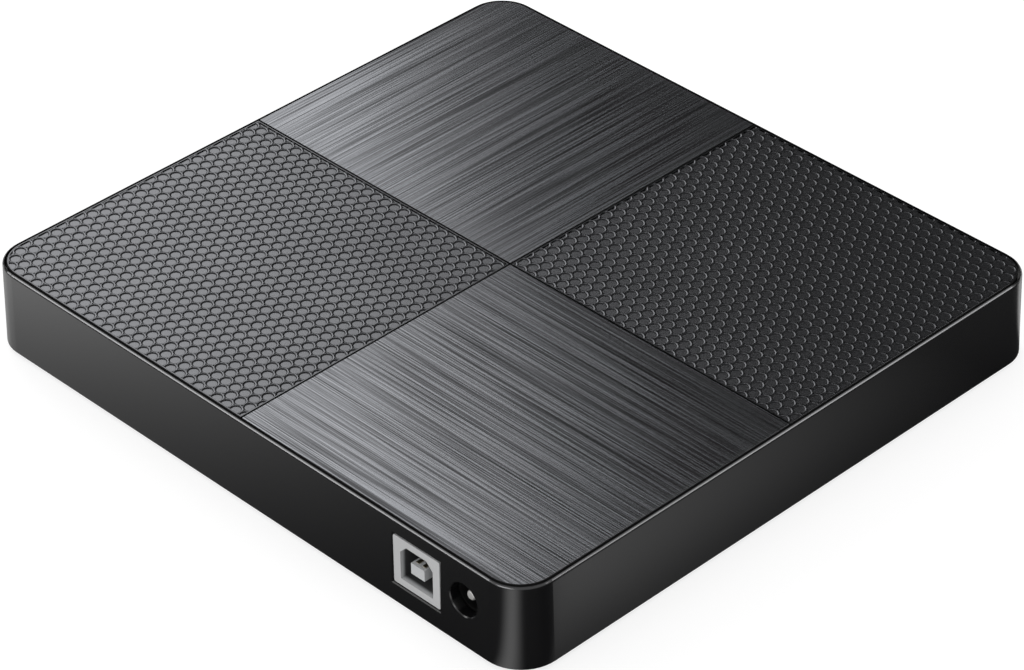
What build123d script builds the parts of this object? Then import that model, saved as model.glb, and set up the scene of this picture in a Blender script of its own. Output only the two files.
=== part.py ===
from build123d import *
import math
import os

# External disc drive with a sliding tray, in millimetres.
# X runs across the front, the tray leaves towards -Y, the sockets face +Y and Z is up.
# The origin is on the table under the middle of the case.

os.makedirs("parts", exist_ok=True)

# Case, measured over the walls at their lower edge
case_width = 149.8
case_depth = 142.5
body_height = 18.4
foot_height = 1.0
wall_draft = 1.55
corner_radius = 8.5
wall = 2.2
edge_radius = 0.75
hole_chamfer = 0.2

# Textured plate let into the top, with its cross groove
plate_rim = 0.41
plate_gap = 0.45
plate_thickness = 1.7
plate_bevel = 0.15
groove_width = 0.45
groove_depth = 0.5
scale_margin = 0.2
scale_depth = 0.35
deck_thickness = 1.4

# Base cover, its feet and its screws
base_thickness = 1.4
base_clearance = 0.25
foot_diameter = 11.0
foot_recess = 0.5
foot_inset_x = 17.9
foot_inset_y = 19.25
screw_diameter = 2.0
screw_head_diameter = 3.8
screw_head_height = 1.1
screw_length = 8.0
screw_clearance = 0.05
cross_length = 2.2
cross_width = 0.5
cross_depth = 0.5
boss_diameter = 6.0
boss_inset_x = 6.7
boss_inset_y = 13.25
panel_width = 62.0
panel_depth = 34.0
panel_radius = 2.0
panel_recess = 0.3

# Square data socket, standard size
socket_pitch = 12.2
data_z = 10.61
data_width = 12.04
data_height = 10.8
data_depth = 16.4
data_sheet = 0.4
data_mouth_width = 8.45
data_mouth_height = 7.78
data_mouth_chamfer = 1.6
data_mouth_depth = 9.2
tongue_width = 3.5
tongue_height = 2.4
tongue_length = 9.3
tongue_lift = -0.3
contact_width = 0.8
contact_height = 0.15
contact_pitch = 1.7
socket_clearance = 0.2
socket_setback = 0.15

# Round power socket
power_inset = 14.8
power_z = 11.16
power_width = 9.0
power_height = 10.8
power_depth = 13.6
power_hole_diameter = 6.9
power_bore_diameter = 6.4
power_bore_depth = 9.6
power_pin_diameter = 2.0
power_pin_setback = 1.7

# Bridge board behind the sockets
board_thickness = 1.6
board_width = 98.0
board_tail_length = 38.55
board_drive_gap = 1.5
board_wall_gap = 0.5
post_diameter = 4.6
post_inset = 4.0
post_rear_inset = 4.5
post_tail_inset = 8.0
post_middle = 32.0

# Tray drive, a slim unit with one rear corner cut off
side_bay = 10.9
rear_bay = 13.25
drive_height = 12.7
drive_corner_cut = 37.8
drive_lift = 0.8
chassis_sheet = 0.6
lid_sheet = 0.5
lid_gap = 0.1
lid_flange = 4.0
bezel_gap = 0.4
bezel_thickness = 2.9
chassis_setback = 0.6

# Disc, its axis and its height over the tray
disc_x = 0.6
disc_setback = 66.25
disc_diameter = 120.0
disc_hole_diameter = 15.0
disc_clearance = 0.6
disc_lift = 0.8
small_disc_diameter = 80.0
small_well_depth = 0.7

# Tray
tray_gap = 0.6
tray_top_gap = 0.8
tray_floor = 1.5
tray_well_depth = 2.2
tray_underside = 2.0
tray_skirt_inset = 2.8
tray_skirt = 1.5
tray_cover_sheet = 0.3

# Telescopic rails between the tray and the chassis
rail_setback = 3.75
rail_corner_gap = 5.0
rail_end_gap = 2.0
rail_flange = 0.6
rail_web = 0.5
rail_height = 4.0
rail_width = 2.3
rail_level = 7.8
rail_clearance = 0.3
guide_strip = 0.4

# Front controls
button_x = 10.0
button_width = 11.0
button_height = 3.6
button_clearance = 0.2
button_travel = 0.6
button_setback = 0.1
button_stem_diameter = 2.4
button_collar = 1.0
light_x = -4.0
light_width = 3.0
light_height = 1.2
release_x = 26.0
release_diameter = 1.3

# Traverse, which carries the spindle, the rods and the pickup
sled_angle = -45.0
traverse_back = -18.0
traverse_front = 65.5
traverse_left = -20.0
traverse_right = 15.0
traverse_sheet = 0.8
traverse_wall = 1.0
traverse_border = 2.5
traverse_radius = 4.0
traverse_clearance = 0.8
traverse_level = 10.0
cover_sheet = 0.5
cover_clearance = 0.3
hub_opening_diameter = 32.0

# Spindle
stator_diameter = 23.2
stator_height = 1.3
rotor_gap = 0.3
rotor_height = 2.6
rotor_wall = 0.9
turntable_diameter = 28.0
turntable_thickness = 0.9
ring_thickness = 0.3
ring_width = 2.6
hub_clearance = 0.1
hub_height = 1.75
jaw_width = 2.4
jaw_reach = 0.3
jaw_height = 0.5
jaw_travel = 0.4
shaft_diameter = 2.0

# Pickup
rod_diameter = 2.0
rod_left = -10.5
rod_right = 11.0
rod_level = 7.3
running_clearance = 0.06
rod_start = 9.6
rod_end_gap = 0.3
sled_start = 12.5
sled_length = 16.0
sled_height = 3.0
sled_side = 1.9
sled_travel = 33.0
lens_reach = 24.5
lens_diameter = 4.4
lens_height = 0.6
lens_travel = 0.4
holder_length = 7.0
holder_width = 10.0
holder_height = 1.8
holder_gap = 0.6
magnet_thickness = 1.8
pickup_sheet = 0.2
lens_top = 11.9
screw_side = -15.5
screw_level = 8.2
lead_diameter = 2.0
motor_diameter = 5.0
motor_length = 8.6
motor_front = -6.2
motor_chamfer = 0.3

# Latch under the tray
latch_inset_x = 14.0
latch_inset_y = 26.25
latch_length = 17.0
latch_width = 2.4
latch_hook = 3.2
latch_thickness = 0.7
latch_post_diameter = 2.6
latch_post_gap = 0.9
latch_pin_diameter = 1.8
latch_clearance = 0.3
latch_post_side_gap = 1.3
solenoid_width = 8.0
solenoid_length = 14.0
solenoid_height = 4.6
solenoid_reach = 32.0

# Ejector in the tray's rear edge
plunger_x = 30.0
plunger_diameter = 2.4
plunger_length = 15.0
plunger_head = 4.4
plunger_head_thickness = 1.0
plunger_gap = 0.3

# Heights that follow from the sizes above
case_top = foot_height + body_height
plate_bottom = case_top - plate_thickness
deck_bottom = plate_bottom - deck_thickness
base_top = foot_height + base_thickness
drive_bottom = base_top + drive_lift
drive_top = drive_bottom + drive_height
board_top = data_z - data_height / 2
board_bottom = board_top - board_thickness
chassis_floor = drive_bottom + chassis_sheet
lid_underside = drive_top - lid_sheet
tray_top = lid_underside - tray_top_gap
tray_floor_top = tray_top - tray_well_depth
tray_floor_bottom = tray_floor_top - tray_floor
tray_bottom = drive_bottom + tray_underside
disc_seat = tray_floor_top + disc_lift
front_control_z = drive_bottom + drive_height / 2

# Plan positions that follow from the sizes above
drive_width = case_width - 2 * side_bay
drive_rear = case_depth / 2 - rear_bay
drive_cut_reach = drive_width / 2 + drive_rear - drive_corner_cut
foot_span_x = case_width - 2 * foot_inset_x
foot_span_y = case_depth - 2 * foot_inset_y
boss_span_x = case_width - 2 * boss_inset_x
boss_span_y = case_depth - 2 * boss_inset_y
power_x = power_inset - case_width / 2
data_x = power_x + socket_pitch
disc_y = disc_setback - case_depth / 2
latch_x = latch_inset_x - drive_width / 2
latch_y = latch_inset_y - case_depth / 2
draft_slope = math.tan(math.radians(wall_draft))
seat_inset = body_height * draft_slope + plate_rim
plate_inset = seat_inset + plate_gap
bezel_back = -case_depth / 2 + bezel_thickness
drive_front = bezel_back + chassis_setback
rail_front = drive_front + rail_setback
chassis_inset = lid_sheet + lid_gap
chassis_inside = chassis_inset + chassis_sheet
tray_inset = chassis_inside + tray_gap
skirt_inset = tray_inset + tray_skirt_inset
socket_face = case_depth / 2 - (data_z - foot_height) * draft_slope - socket_setback
inner_wall_y = case_depth / 2 - wall


def case_block(inset, height):
    """Block of the case outline with its drafted walls, drawn in all round by inset."""
    with BuildPart() as block:
        with BuildSketch(Plane.XY.offset(foot_height)):
            RectangleRounded(case_width - 2 * inset, case_depth - 2 * inset, corner_radius - inset)
        extrude(amount=height, taper=wall_draft)
    return block.part


def top_outline(inset):
    """Outline at the top of the case, drawn in by inset from the foot of the walls."""
    with BuildSketch(Plane.XY.offset(case_top)) as outline:
        RectangleRounded(case_width - 2 * inset, case_depth - 2 * inset, corner_radius - inset)
    return outline.sketch


def drive_plan(level, inset, front):
    """Plan of the tray drive with its rear left corner cut off at 45 degrees, drawn in by inset."""
    side = drive_width / 2 - inset
    rear = drive_rear - inset
    reach = drive_cut_reach - inset * math.sqrt(2)
    with BuildSketch(Plane.XY.offset(level)) as plan:
        with BuildLine():
            Polyline(
                (-side, front),
                (side, front),
                (side, rear),
                (rear - reach, rear),
                (-side, reach - side),
                close=True,
            )
        make_face()
    return plan.sketch


def slab(plane, left, right, front, back, radius=0):
    """Rectangle between four limits on a plane, with rounded corners where a radius is given."""
    with BuildSketch(plane) as sheet:
        with Locations(((left + right) / 2, (front + back) / 2)):
            if radius:
                RectangleRounded(right - left, back - front, radius)
            else:
                Rectangle(right - left, back - front)
    return sheet.sketch


def sled_plane(level):
    """Level plane with its origin on the disc axis and its X axis along the pickup's slide."""
    angle = math.radians(sled_angle)
    return Plane(origin=(disc_x, disc_y, level), x_dir=(math.cos(angle), math.sin(angle), 0), z_dir=(0, 0, 1))


def square_to_slide(reach, side, level):
    """Plane square to the pickup's slide, for the rods, the screw and the motor that lie along it."""
    flat = sled_plane(level)
    return Plane(origin=flat.from_local_coords((reach, side, 0)), x_dir=flat.y_dir, z_dir=flat.x_dir)


def front_plane(depth):
    """Upright plane at a depth in Y, facing the front, with its X axis along X and its Y axis up."""
    return Plane.XZ.offset(-depth)


def disc_axis_profile():
    """Upright plane through the disc axis, for turned pieces."""
    return Plane(origin=(disc_x, disc_y, 0), x_dir=(1, 0, 0), z_dir=(0, -1, 0))


disc_axis = Axis((disc_x, disc_y, 0), (0, 0, 1))

# Upper shell of the case, with the seat for the top plate, four screw bosses and the socket holes
with BuildPart() as housing:
    add(case_block(0, body_height))
    fillet(housing.faces().sort_by(Axis.Z)[-1].edges(), edge_radius)
    extrude(top_outline(seat_inset), amount=-plate_thickness, mode=Mode.SUBTRACT)
    add(case_block(wall, deck_bottom - foot_height), mode=Mode.SUBTRACT)
    with BuildSketch(Plane.XY.offset(base_top)):
        with GridLocations(boss_span_x, boss_span_y, 2, 2):
            Circle(boss_diameter / 2)
    extrude(amount=deck_bottom - base_top)
    with BuildSketch(Plane.XY.offset(base_top)):
        with GridLocations(boss_span_x, boss_span_y, 2, 2):
            Circle(screw_diameter / 2 + screw_clearance)
    extrude(amount=screw_length, mode=Mode.SUBTRACT)
    with BuildSketch(front_plane(-case_depth / 2)):
        with Locations((0, front_control_z)):
            Rectangle(drive_width + 2 * bezel_gap, drive_height + 2 * bezel_gap)
    extrude(amount=-bezel_thickness, mode=Mode.SUBTRACT)
    with BuildSketch(front_plane(case_depth / 2)):
        with Locations((data_x, data_z)):
            Rectangle(data_width + 2 * socket_clearance, data_height + 2 * socket_clearance)
        with Locations((power_x, power_z)):
            Circle(power_hole_diameter / 2)
    extrude(amount=2 * wall, mode=Mode.SUBTRACT)
    rear_face = housing.faces().sort_by(Axis.Y)[-1]
    chamfer([edge for hole in rear_face.inner_wires() for edge in hole.edges()], hole_chamfer)
housing.part.label = "housing"
export_step(housing.part, "parts/housing.step")

# Textured plate on top, divided into four fields by a fine cross groove; two of them are sunk for the scales
field_inset = plate_inset + plate_bevel + scale_margin
field_bar = groove_width + 2 * scale_margin
with BuildPart() as top_plate:
    extrude(top_outline(plate_inset), amount=-plate_thickness)
    chamfer(top_plate.faces().sort_by(Axis.Z)[-1].edges(), plate_bevel)
    with BuildSketch(Plane.XY.offset(case_top)):
        Rectangle(case_width, groove_width)
        Rectangle(groove_width, case_depth)
    extrude(amount=-groove_depth, mode=Mode.SUBTRACT)
    with BuildSketch(Plane.XY.offset(case_top)):
        add(top_outline(field_inset))
        Rectangle(case_width, field_bar, mode=Mode.SUBTRACT)
        Rectangle(field_bar, case_depth, mode=Mode.SUBTRACT)
        with Locations((-case_width / 4, case_depth / 4), (case_width / 4, -case_depth / 4)):
            Rectangle(case_width / 2, case_depth / 2, mode=Mode.SUBTRACT)
    extrude(amount=-scale_depth, mode=Mode.SUBTRACT)
top_plate.part.label = "top_plate"
export_step(top_plate.part, "parts/top_plate.step")

# Bridge board outline, used by the board and by the posts that carry it
board_rear = inner_wall_y - board_wall_gap
board_left = -drive_width / 2
board_right = board_left + board_width
board_tail = board_rear - board_tail_length
board_front = drive_rear + board_drive_gap
board_reach = drive_cut_reach + board_drive_gap * math.sqrt(2)
board_holes = [
    (board_left + post_inset, board_tail + post_tail_inset),
    (board_left + post_middle, board_rear - post_rear_inset),
    (board_right - post_inset, board_rear - post_rear_inset),
]

# Base cover, which closes the case from below and carries the drive and the board
rib_inset = 22.0
rib_span = drive_width - 2 * rib_inset
rib_width = 2.0
rib_length = foot_span_y
fence_height = 3.0
fence_width = 1.2
fence_length = 16.0
fence_gap = 0.4
fence_inset = 17.0
fence_span_y = foot_span_y - 2 * fence_inset
with BuildPart() as base_cover:
    add(case_block(wall + base_clearance, base_thickness))
    with BuildSketch(Plane.XY.offset(base_top)):
        with GridLocations(rib_span, 0, 2, 1):
            Rectangle(rib_width, rib_length)
    extrude(amount=drive_lift)
    with BuildSketch(Plane.XY.offset(base_top)):
        with GridLocations(drive_width + 2 * fence_gap + fence_width, fence_span_y, 2, 2):
            Rectangle(fence_width, fence_length)
    extrude(amount=drive_lift + fence_height)
    with BuildSketch(Plane.XY.offset(base_top)):
        with Locations(*board_holes):
            Circle(post_diameter / 2)
    extrude(amount=board_bottom - base_top)
    with BuildSketch(Plane.XY.offset(base_top)):
        with Locations(*board_holes):
            Circle(screw_diameter / 2 + screw_clearance)
    extrude(amount=board_bottom - base_top, mode=Mode.SUBTRACT)
    with BuildSketch(Plane.XY.offset(foot_height)):
        with GridLocations(foot_span_x, foot_span_y, 2, 2):
            Circle(foot_diameter / 2 + base_clearance)
    extrude(amount=foot_recess, mode=Mode.SUBTRACT)
    with BuildSketch(Plane.XY.offset(foot_height)):
        with GridLocations(boss_span_x, boss_span_y, 2, 2):
            Circle(screw_head_diameter / 2 + base_clearance)
    extrude(amount=screw_head_height, mode=Mode.SUBTRACT)
    with BuildSketch(Plane.XY.offset(foot_height)):
        with GridLocations(boss_span_x, boss_span_y, 2, 2):
            Circle(screw_diameter / 2 + screw_clearance)
    extrude(amount=base_thickness, mode=Mode.SUBTRACT)
    with BuildSketch(Plane.XY.offset(foot_height)):
        RectangleRounded(panel_width, panel_depth, panel_radius)
    extrude(amount=panel_recess, mode=Mode.SUBTRACT)
base_cover.part.label = "base_cover"
export_step(base_cover.part, "parts/base_cover.step")

# Rubber feet in round recesses of the base cover
foot_edge = 0.3
with BuildPart() as rubber_feet:
    with BuildSketch():
        with GridLocations(foot_span_x, foot_span_y, 2, 2):
            Circle(foot_diameter / 2)
    extrude(amount=foot_height + foot_recess)
    fillet(rubber_feet.edges().group_by(Axis.Z)[0], foot_edge)
rubber_feet.part.label = "rubber_feet"
export_step(rubber_feet.part, "parts/rubber_feet.step")

# Case screws, which pull the base cover against the four bosses
with BuildPart() as case_screws:
    head_top = foot_height + screw_head_height
    with BuildSketch(Plane.XY.offset(head_top)):
        with GridLocations(boss_span_x, boss_span_y, 2, 2):
            Circle(screw_head_diameter / 2)
    extrude(amount=-screw_head_height + foot_edge)
    with BuildSketch(Plane.XY.offset(head_top)):
        with GridLocations(boss_span_x, boss_span_y, 2, 2):
            Circle(screw_diameter / 2)
    extrude(amount=screw_length - screw_head_height)
    with BuildSketch(Plane.XY.offset(foot_height + foot_edge)):
        with GridLocations(boss_span_x, boss_span_y, 2, 2):
            Rectangle(cross_length, cross_width)
            Rectangle(cross_width, cross_length)
    extrude(amount=cross_depth, mode=Mode.SUBTRACT)
case_screws.part.label = "case_screws"
export_step(case_screws.part, "parts/case_screws.step")

# Bridge board between the sockets and the drive
with BuildPart() as bridge_board:
    with BuildSketch(Plane.XY.offset(board_bottom)):
        with BuildLine():
            Polyline(
                (board_left, board_tail),
                (board_left, board_rear),
                (board_right, board_rear),
                (board_right, board_front),
                (board_front - board_reach, board_front),
                (board_tail - board_reach, board_tail),
                close=True,
            )
        make_face()
        with Locations(*board_holes):
            Circle(screw_diameter / 2 + screw_clearance, mode=Mode.SUBTRACT)
    extrude(amount=board_thickness)
bridge_board.part.label = "bridge_board"
export_step(bridge_board.part, "parts/bridge_board.step")

# Screws that hold the board on its posts
board_screw_head = 0.9
with BuildPart() as board_screws:
    with BuildSketch(Plane.XY.offset(board_top)):
        with Locations(*board_holes):
            Circle(screw_head_diameter / 2)
    extrude(amount=board_screw_head)
    with BuildSketch(Plane.XY.offset(board_top)):
        with Locations(*board_holes):
            Circle(screw_diameter / 2)
    extrude(amount=base_top - board_top)
    with BuildSketch(Plane.XY.offset(board_top + board_screw_head)):
        with Locations(*board_holes):
            Rectangle(cross_length, cross_width)
            Rectangle(cross_width, cross_length)
    extrude(amount=-cross_depth, mode=Mode.SUBTRACT)
board_screws.part.label = "board_screws"
export_step(board_screws.part, "parts/board_screws.step")

# Bridge chip, memory chip and regulator on the board
chip_height = 1.0
chip_row = board_front + 4.8
bridge_chip_x = board_left + 50.0
bridge_chip_size = 7.0
memory_chip_x = board_left + 40.0
memory_chip_width = 4.0
memory_chip_depth = 5.0
regulator_x = board_left + 9.5
regulator_y = board_tail + 12.5
regulator_size = 6.5
with BuildPart() as bridge_chips:
    with BuildSketch(Plane.XY.offset(board_top)):
        with Locations((bridge_chip_x, chip_row)):
            Rectangle(bridge_chip_size, bridge_chip_size)
        with Locations((memory_chip_x, chip_row)):
            Rectangle(memory_chip_width, memory_chip_depth)
        with Locations((regulator_x, regulator_y)):
            Rectangle(regulator_size, regulator_size)
    extrude(amount=chip_height)
bridge_chips.part.label = "bridge_chips"
export_step(bridge_chips.part, "parts/bridge_chips.step")

# Round capacitors beside the power socket
capacitor_height = 5.4
capacitor_diameter = 5.0
capacitor_inset = 4.0
capacitor_line = 20.0
capacitor_pitch = 11.0
capacitor_step = 1.5
capacitor_places = [
    (board_left + capacitor_inset, board_tail + capacitor_line),
    (board_left + capacitor_inset + capacitor_pitch, board_tail + capacitor_line - capacitor_step),
]
with BuildPart() as capacitors:
    with BuildSketch(Plane.XY.offset(board_top)):
        with Locations(*capacitor_places):
            Circle(capacitor_diameter / 2)
    extrude(amount=capacitor_height)
    fillet(capacitors.edges().group_by(Axis.Z)[-1], foot_edge)
capacitors.part.label = "capacitors"
export_step(capacitors.part, "parts/capacitors.step")


def socket_mouth(depth, spread):
    """Mouth of the square data socket, with its two upper corners cut off."""
    with BuildSketch(front_plane(depth)) as mouth:
        with Locations((data_x, data_z)):
            Rectangle(data_mouth_width + 2 * spread, data_mouth_height + 2 * spread)
        chamfer(mouth.vertices().group_by(Axis.Y)[-1], data_mouth_chamfer)
    return mouth.sketch


# Folded metal shell of the data socket, with its mouth in the front face
with BuildPart() as data_socket_shell:
    with BuildSketch(front_plane(socket_face)):
        with Locations((data_x, data_z)):
            Rectangle(data_width, data_height)
    extrude(amount=data_depth)
    fillet(data_socket_shell.edges().filter_by(Axis.Y), data_sheet)
    with BuildSketch(front_plane(socket_face - data_sheet)):
        with Locations((data_x, data_z)):
            Rectangle(data_width - 2 * data_sheet, data_height - 2 * data_sheet)
    extrude(amount=data_depth, mode=Mode.SUBTRACT)
    extrude(socket_mouth(socket_face, 0), amount=data_sheet, mode=Mode.SUBTRACT)
data_socket_shell.part.label = "data_socket_shell"
export_step(data_socket_shell.part, "parts/data_socket_shell.step")

# Insulator inside the shell, hollow at the mouth, with the tongue that carries the contacts
with BuildPart() as data_socket_insert:
    with BuildSketch(front_plane(socket_face - data_sheet)):
        with Locations((data_x, data_z)):
            Rectangle(data_width - 2 * data_sheet, data_height - 2 * data_sheet)
    extrude(amount=data_depth - data_sheet)
    extrude(socket_mouth(socket_face - data_sheet, 0), amount=data_mouth_depth, mode=Mode.SUBTRACT)
    with BuildSketch(front_plane(socket_face - data_sheet - data_mouth_depth)):
        with Locations((data_x, data_z + tongue_lift)):
            Rectangle(tongue_width, tongue_height)
    extrude(amount=-tongue_length)
data_socket_insert.part.label = "data_socket_insert"
export_step(data_socket_insert.part, "parts/data_socket_insert.step")

# Four contact strips, two on each face of the tongue
with BuildPart() as data_contacts:
    contact_lift = tongue_height / 2 + contact_height / 2
    with BuildSketch(front_plane(socket_face - data_sheet - data_mouth_depth)):
        with Locations((data_x, data_z + tongue_lift)):
            with GridLocations(contact_pitch, 2 * contact_lift, 2, 2):
                Rectangle(contact_width, contact_height)
    extrude(amount=-tongue_length + contact_width)
data_contacts.part.label = "data_contacts"
export_step(data_contacts.part, "parts/data_contacts.step")

# Moulded body of the power socket behind the round hole
with BuildPart() as power_socket_body:
    with BuildSketch(front_plane(inner_wall_y - board_wall_gap)):
        with Locations((power_x, board_top + power_height / 2)):
            Rectangle(power_width, power_height)
    extrude(amount=power_depth)
    with BuildSketch(front_plane(inner_wall_y - board_wall_gap)):
        with Locations((power_x, power_z)):
            Circle(power_bore_diameter / 2)
    extrude(amount=power_bore_depth, mode=Mode.SUBTRACT)
power_socket_body.part.label = "power_socket_body"
export_step(power_socket_body.part, "parts/power_socket_body.step")

# Centre pin of the power socket, rounded at its tip
power_pin_tip = case_depth / 2 - (power_z - foot_height) * draft_slope - power_pin_setback
with BuildPart() as power_pin:
    with BuildSketch(front_plane(power_pin_tip)):
        with Locations((power_x, power_z)):
            Circle(power_pin_diameter / 2)
    extrude(amount=power_pin_tip - (inner_wall_y - board_wall_gap - power_bore_depth))
    fillet(power_pin.edges().group_by(Axis.Y)[-1], power_pin_diameter / 4)
power_pin.part.label = "power_pin"
export_step(power_pin.part, "parts/power_pin.step")

# Pressed steel chassis of the drive, open at the front and the top
connector_width = 24.0
connector_inset = 22.0
connector_x = board_right - connector_inset
connector_bottom = 5.4
connector_height = 3.6
connector_depth = 4.2
connector_gap = 0.4
connector_wall = 1.0
mate_wall = 1.2
mate_mouth = 2.8
latch_post_y = latch_y + latch_length - latch_width - latch_post_gap - latch_post_diameter / 2
latch_post_x = latch_x + latch_hook + latch_post_diameter / 2 + latch_post_side_gap
with BuildPart() as drive_chassis:
    extrude(drive_plan(drive_bottom, chassis_inset, drive_front), amount=drive_height - lid_sheet - lid_gap)
    extrude(
        drive_plan(chassis_floor, chassis_inside, drive_front - chassis_sheet),
        amount=drive_height,
        mode=Mode.SUBTRACT,
    )
    extrude(
        slab(
            front_plane(drive_rear),
            connector_x - connector_width / 2 - connector_gap,
            connector_x + connector_width / 2 + connector_gap,
            connector_bottom - connector_gap,
            connector_bottom + connector_height + connector_gap,
        ),
        amount=2 * chassis_sheet + lid_gap,
        mode=Mode.SUBTRACT,
    )
    with BuildSketch(Plane.XY.offset(chassis_floor)):
        with Locations((latch_post_x, latch_post_y)):
            Circle(latch_post_diameter / 2)
    extrude(amount=tray_bottom - latch_clearance - chassis_floor)
drive_chassis.part.label = "drive_chassis"
export_step(drive_chassis.part, "parts/drive_chassis.step")

# Pressed lid of the drive, with a short flange down each closed side
with BuildPart() as drive_lid:
    extrude(drive_plan(drive_top, 0, drive_front), amount=-lid_sheet)
    extrude(drive_plan(lid_underside, 0, drive_front), amount=-lid_flange)
    extrude(
        drive_plan(lid_underside, lid_sheet, drive_front - lid_sheet),
        amount=-lid_flange,
        mode=Mode.SUBTRACT,
    )
    extrude(
        slab(
            front_plane(drive_rear),
            connector_x - connector_width,
            connector_x + connector_width,
            drive_bottom,
            lid_underside,
        ),
        amount=lid_sheet,
        mode=Mode.SUBTRACT,
    )
drive_lid.part.label = "drive_lid"
export_step(drive_lid.part, "parts/drive_lid.step")

# Plastic guide strips on the chassis walls, each with a rib that the rail rides on
rib_height = rail_height - 2 * rail_flange - 2 * rail_clearance
guide_face = drive_width / 2 - chassis_inside - guide_strip
rail_outside = guide_face - rail_clearance
rail_inside = rail_outside - rail_width
web_inside = (rail_inside + rail_outside - rail_web) / 2
web_outside = web_inside + rail_web
left_rail_rear = drive_cut_reach - drive_width / 2 - rail_corner_gap
right_rail_rear = drive_rear - chassis_inside - rail_end_gap


def guide_strip_block(side, rear):
    """Guide strip on one chassis wall; side is -1 for the left wall and 1 for the right wall."""
    with BuildPart() as strip:
        low = rail_level - rail_height / 2
        high = rail_level + rail_height / 2
        face = sorted((side * guide_face, side * (guide_face + guide_strip)))
        rib = sorted((side * (web_outside + rail_clearance), side * (guide_face + guide_strip)))
        extrude(slab(Plane.XY.offset(low), face[0], face[1], drive_front, rear), amount=high - low)
        extrude(
            slab(Plane.XY.offset(rail_level - rib_height / 2), rib[0], rib[1], drive_front, rear),
            amount=rib_height,
        )
    return strip.part


def rail_block(side, rear):
    """Rail of H section, with one channel round the tray's rib and one round the guide's rib."""
    with BuildPart() as bar:
        body = sorted((side * rail_inside, side * rail_outside))
        web = sorted((side * web_inside, side * web_outside))
        low = rail_level - rail_height / 2
        high = rail_level + rail_height / 2
        extrude(slab(Plane.XY.offset(low), body[0], body[1], rail_front, rear), amount=rail_flange)
        extrude(slab(Plane.XY.offset(high), body[0], body[1], rail_front, rear), amount=-rail_flange)
        extrude(slab(Plane.XY.offset(low), web[0], web[1], rail_front, rear), amount=high - low)
    return bar.part


with BuildPart() as rail_guide_left:
    add(guide_strip_block(-1, left_rail_rear))
rail_guide_left.part.label = "rail_guide_left"
export_step(rail_guide_left.part, "parts/rail_guide_left.step")

with BuildPart() as rail_guide_right:
    add(guide_strip_block(1, right_rail_rear))
rail_guide_right.part.label = "rail_guide_right"
export_step(rail_guide_right.part, "parts/rail_guide_right.step")

with BuildPart() as rail_left:
    add(rail_block(-1, left_rail_rear))
rail_left.part.label = "rail_left"
export_step(rail_left.part, "parts/rail_left.step")

with BuildPart() as rail_right:
    add(rail_block(1, right_rail_rear))
rail_right.part.label = "rail_right"
export_step(rail_right.part, "parts/rail_right.step")

# Small screws that hold the lid's flanges to the chassis
lid_screw_y = 40.0
lid_screw_diameter = 2.6
lid_screw_head = 0.5
with BuildPart() as lid_screws:
    for place in (-lid_screw_y, 0):
        with BuildSketch(Plane.YZ.offset(-drive_width / 2)):
            with Locations((place, drive_top - lid_flange / 2)):
                Circle(lid_screw_diameter / 2)
        extrude(amount=-lid_screw_head)
    for place in (-lid_screw_y, lid_screw_y):
        with BuildSketch(Plane.YZ.offset(drive_width / 2)):
            with Locations((place, drive_top - lid_flange / 2)):
                Circle(lid_screw_diameter / 2)
        extrude(amount=lid_screw_head)
lid_screws.part.label = "lid_screws"
export_step(lid_screws.part, "parts/lid_screws.step")

# Drive's own board on the chassis floor, low enough for the tray to pass over
main_board_lift = 0.15
main_board_thickness = 0.6
main_board_top = chassis_floor + main_board_lift + main_board_thickness
main_board_width = 72.0
main_board_depth = 26.0
main_board_side_gap = 10.0
main_board_rear_gap = 2.0
main_board_right = drive_width / 2 - main_board_side_gap
main_board_left = main_board_right - main_board_width
main_board_rear = drive_rear - main_board_rear_gap
main_board_front = main_board_rear - main_board_depth
main_board_pad = 4.0
with BuildPart() as main_board:
    extrude(
        slab(
            Plane.XY.offset(chassis_floor),
            main_board_left + main_board_pad,
            main_board_right - main_board_pad,
            main_board_front + main_board_pad,
            main_board_rear - main_board_pad,
        ),
        amount=main_board_lift,
    )
    extrude(
        slab(
            Plane.XY.offset(chassis_floor + main_board_lift),
            main_board_left,
            main_board_right,
            main_board_front,
            main_board_rear,
        ),
        amount=main_board_thickness,
    )
main_board.part.label = "main_board"
export_step(main_board.part, "parts/main_board.step")

# Flat chips on the drive's board: the controller and two drivers
controller_size = 11.0
driver_width = 8.0
driver_depth = 6.0
chip_line = main_board_front + controller_size
controller_x = main_board_left + main_board_width / 3
driver_pitch = 16.0
second_driver_x = main_board_right - driver_width * 3 / 2
with BuildPart() as main_board_chips:
    with BuildSketch(Plane.XY.offset(main_board_top)):
        with Locations((controller_x, chip_line)):
            Rectangle(controller_size, controller_size)
        with Locations((second_driver_x - driver_pitch, chip_line), (second_driver_x, chip_line)):
            Rectangle(driver_width, driver_depth)
    extrude(amount=tray_bottom - latch_clearance - main_board_top)
main_board_chips.part.label = "main_board_chips"
export_step(main_board_chips.part, "parts/main_board_chips.step")

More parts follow.
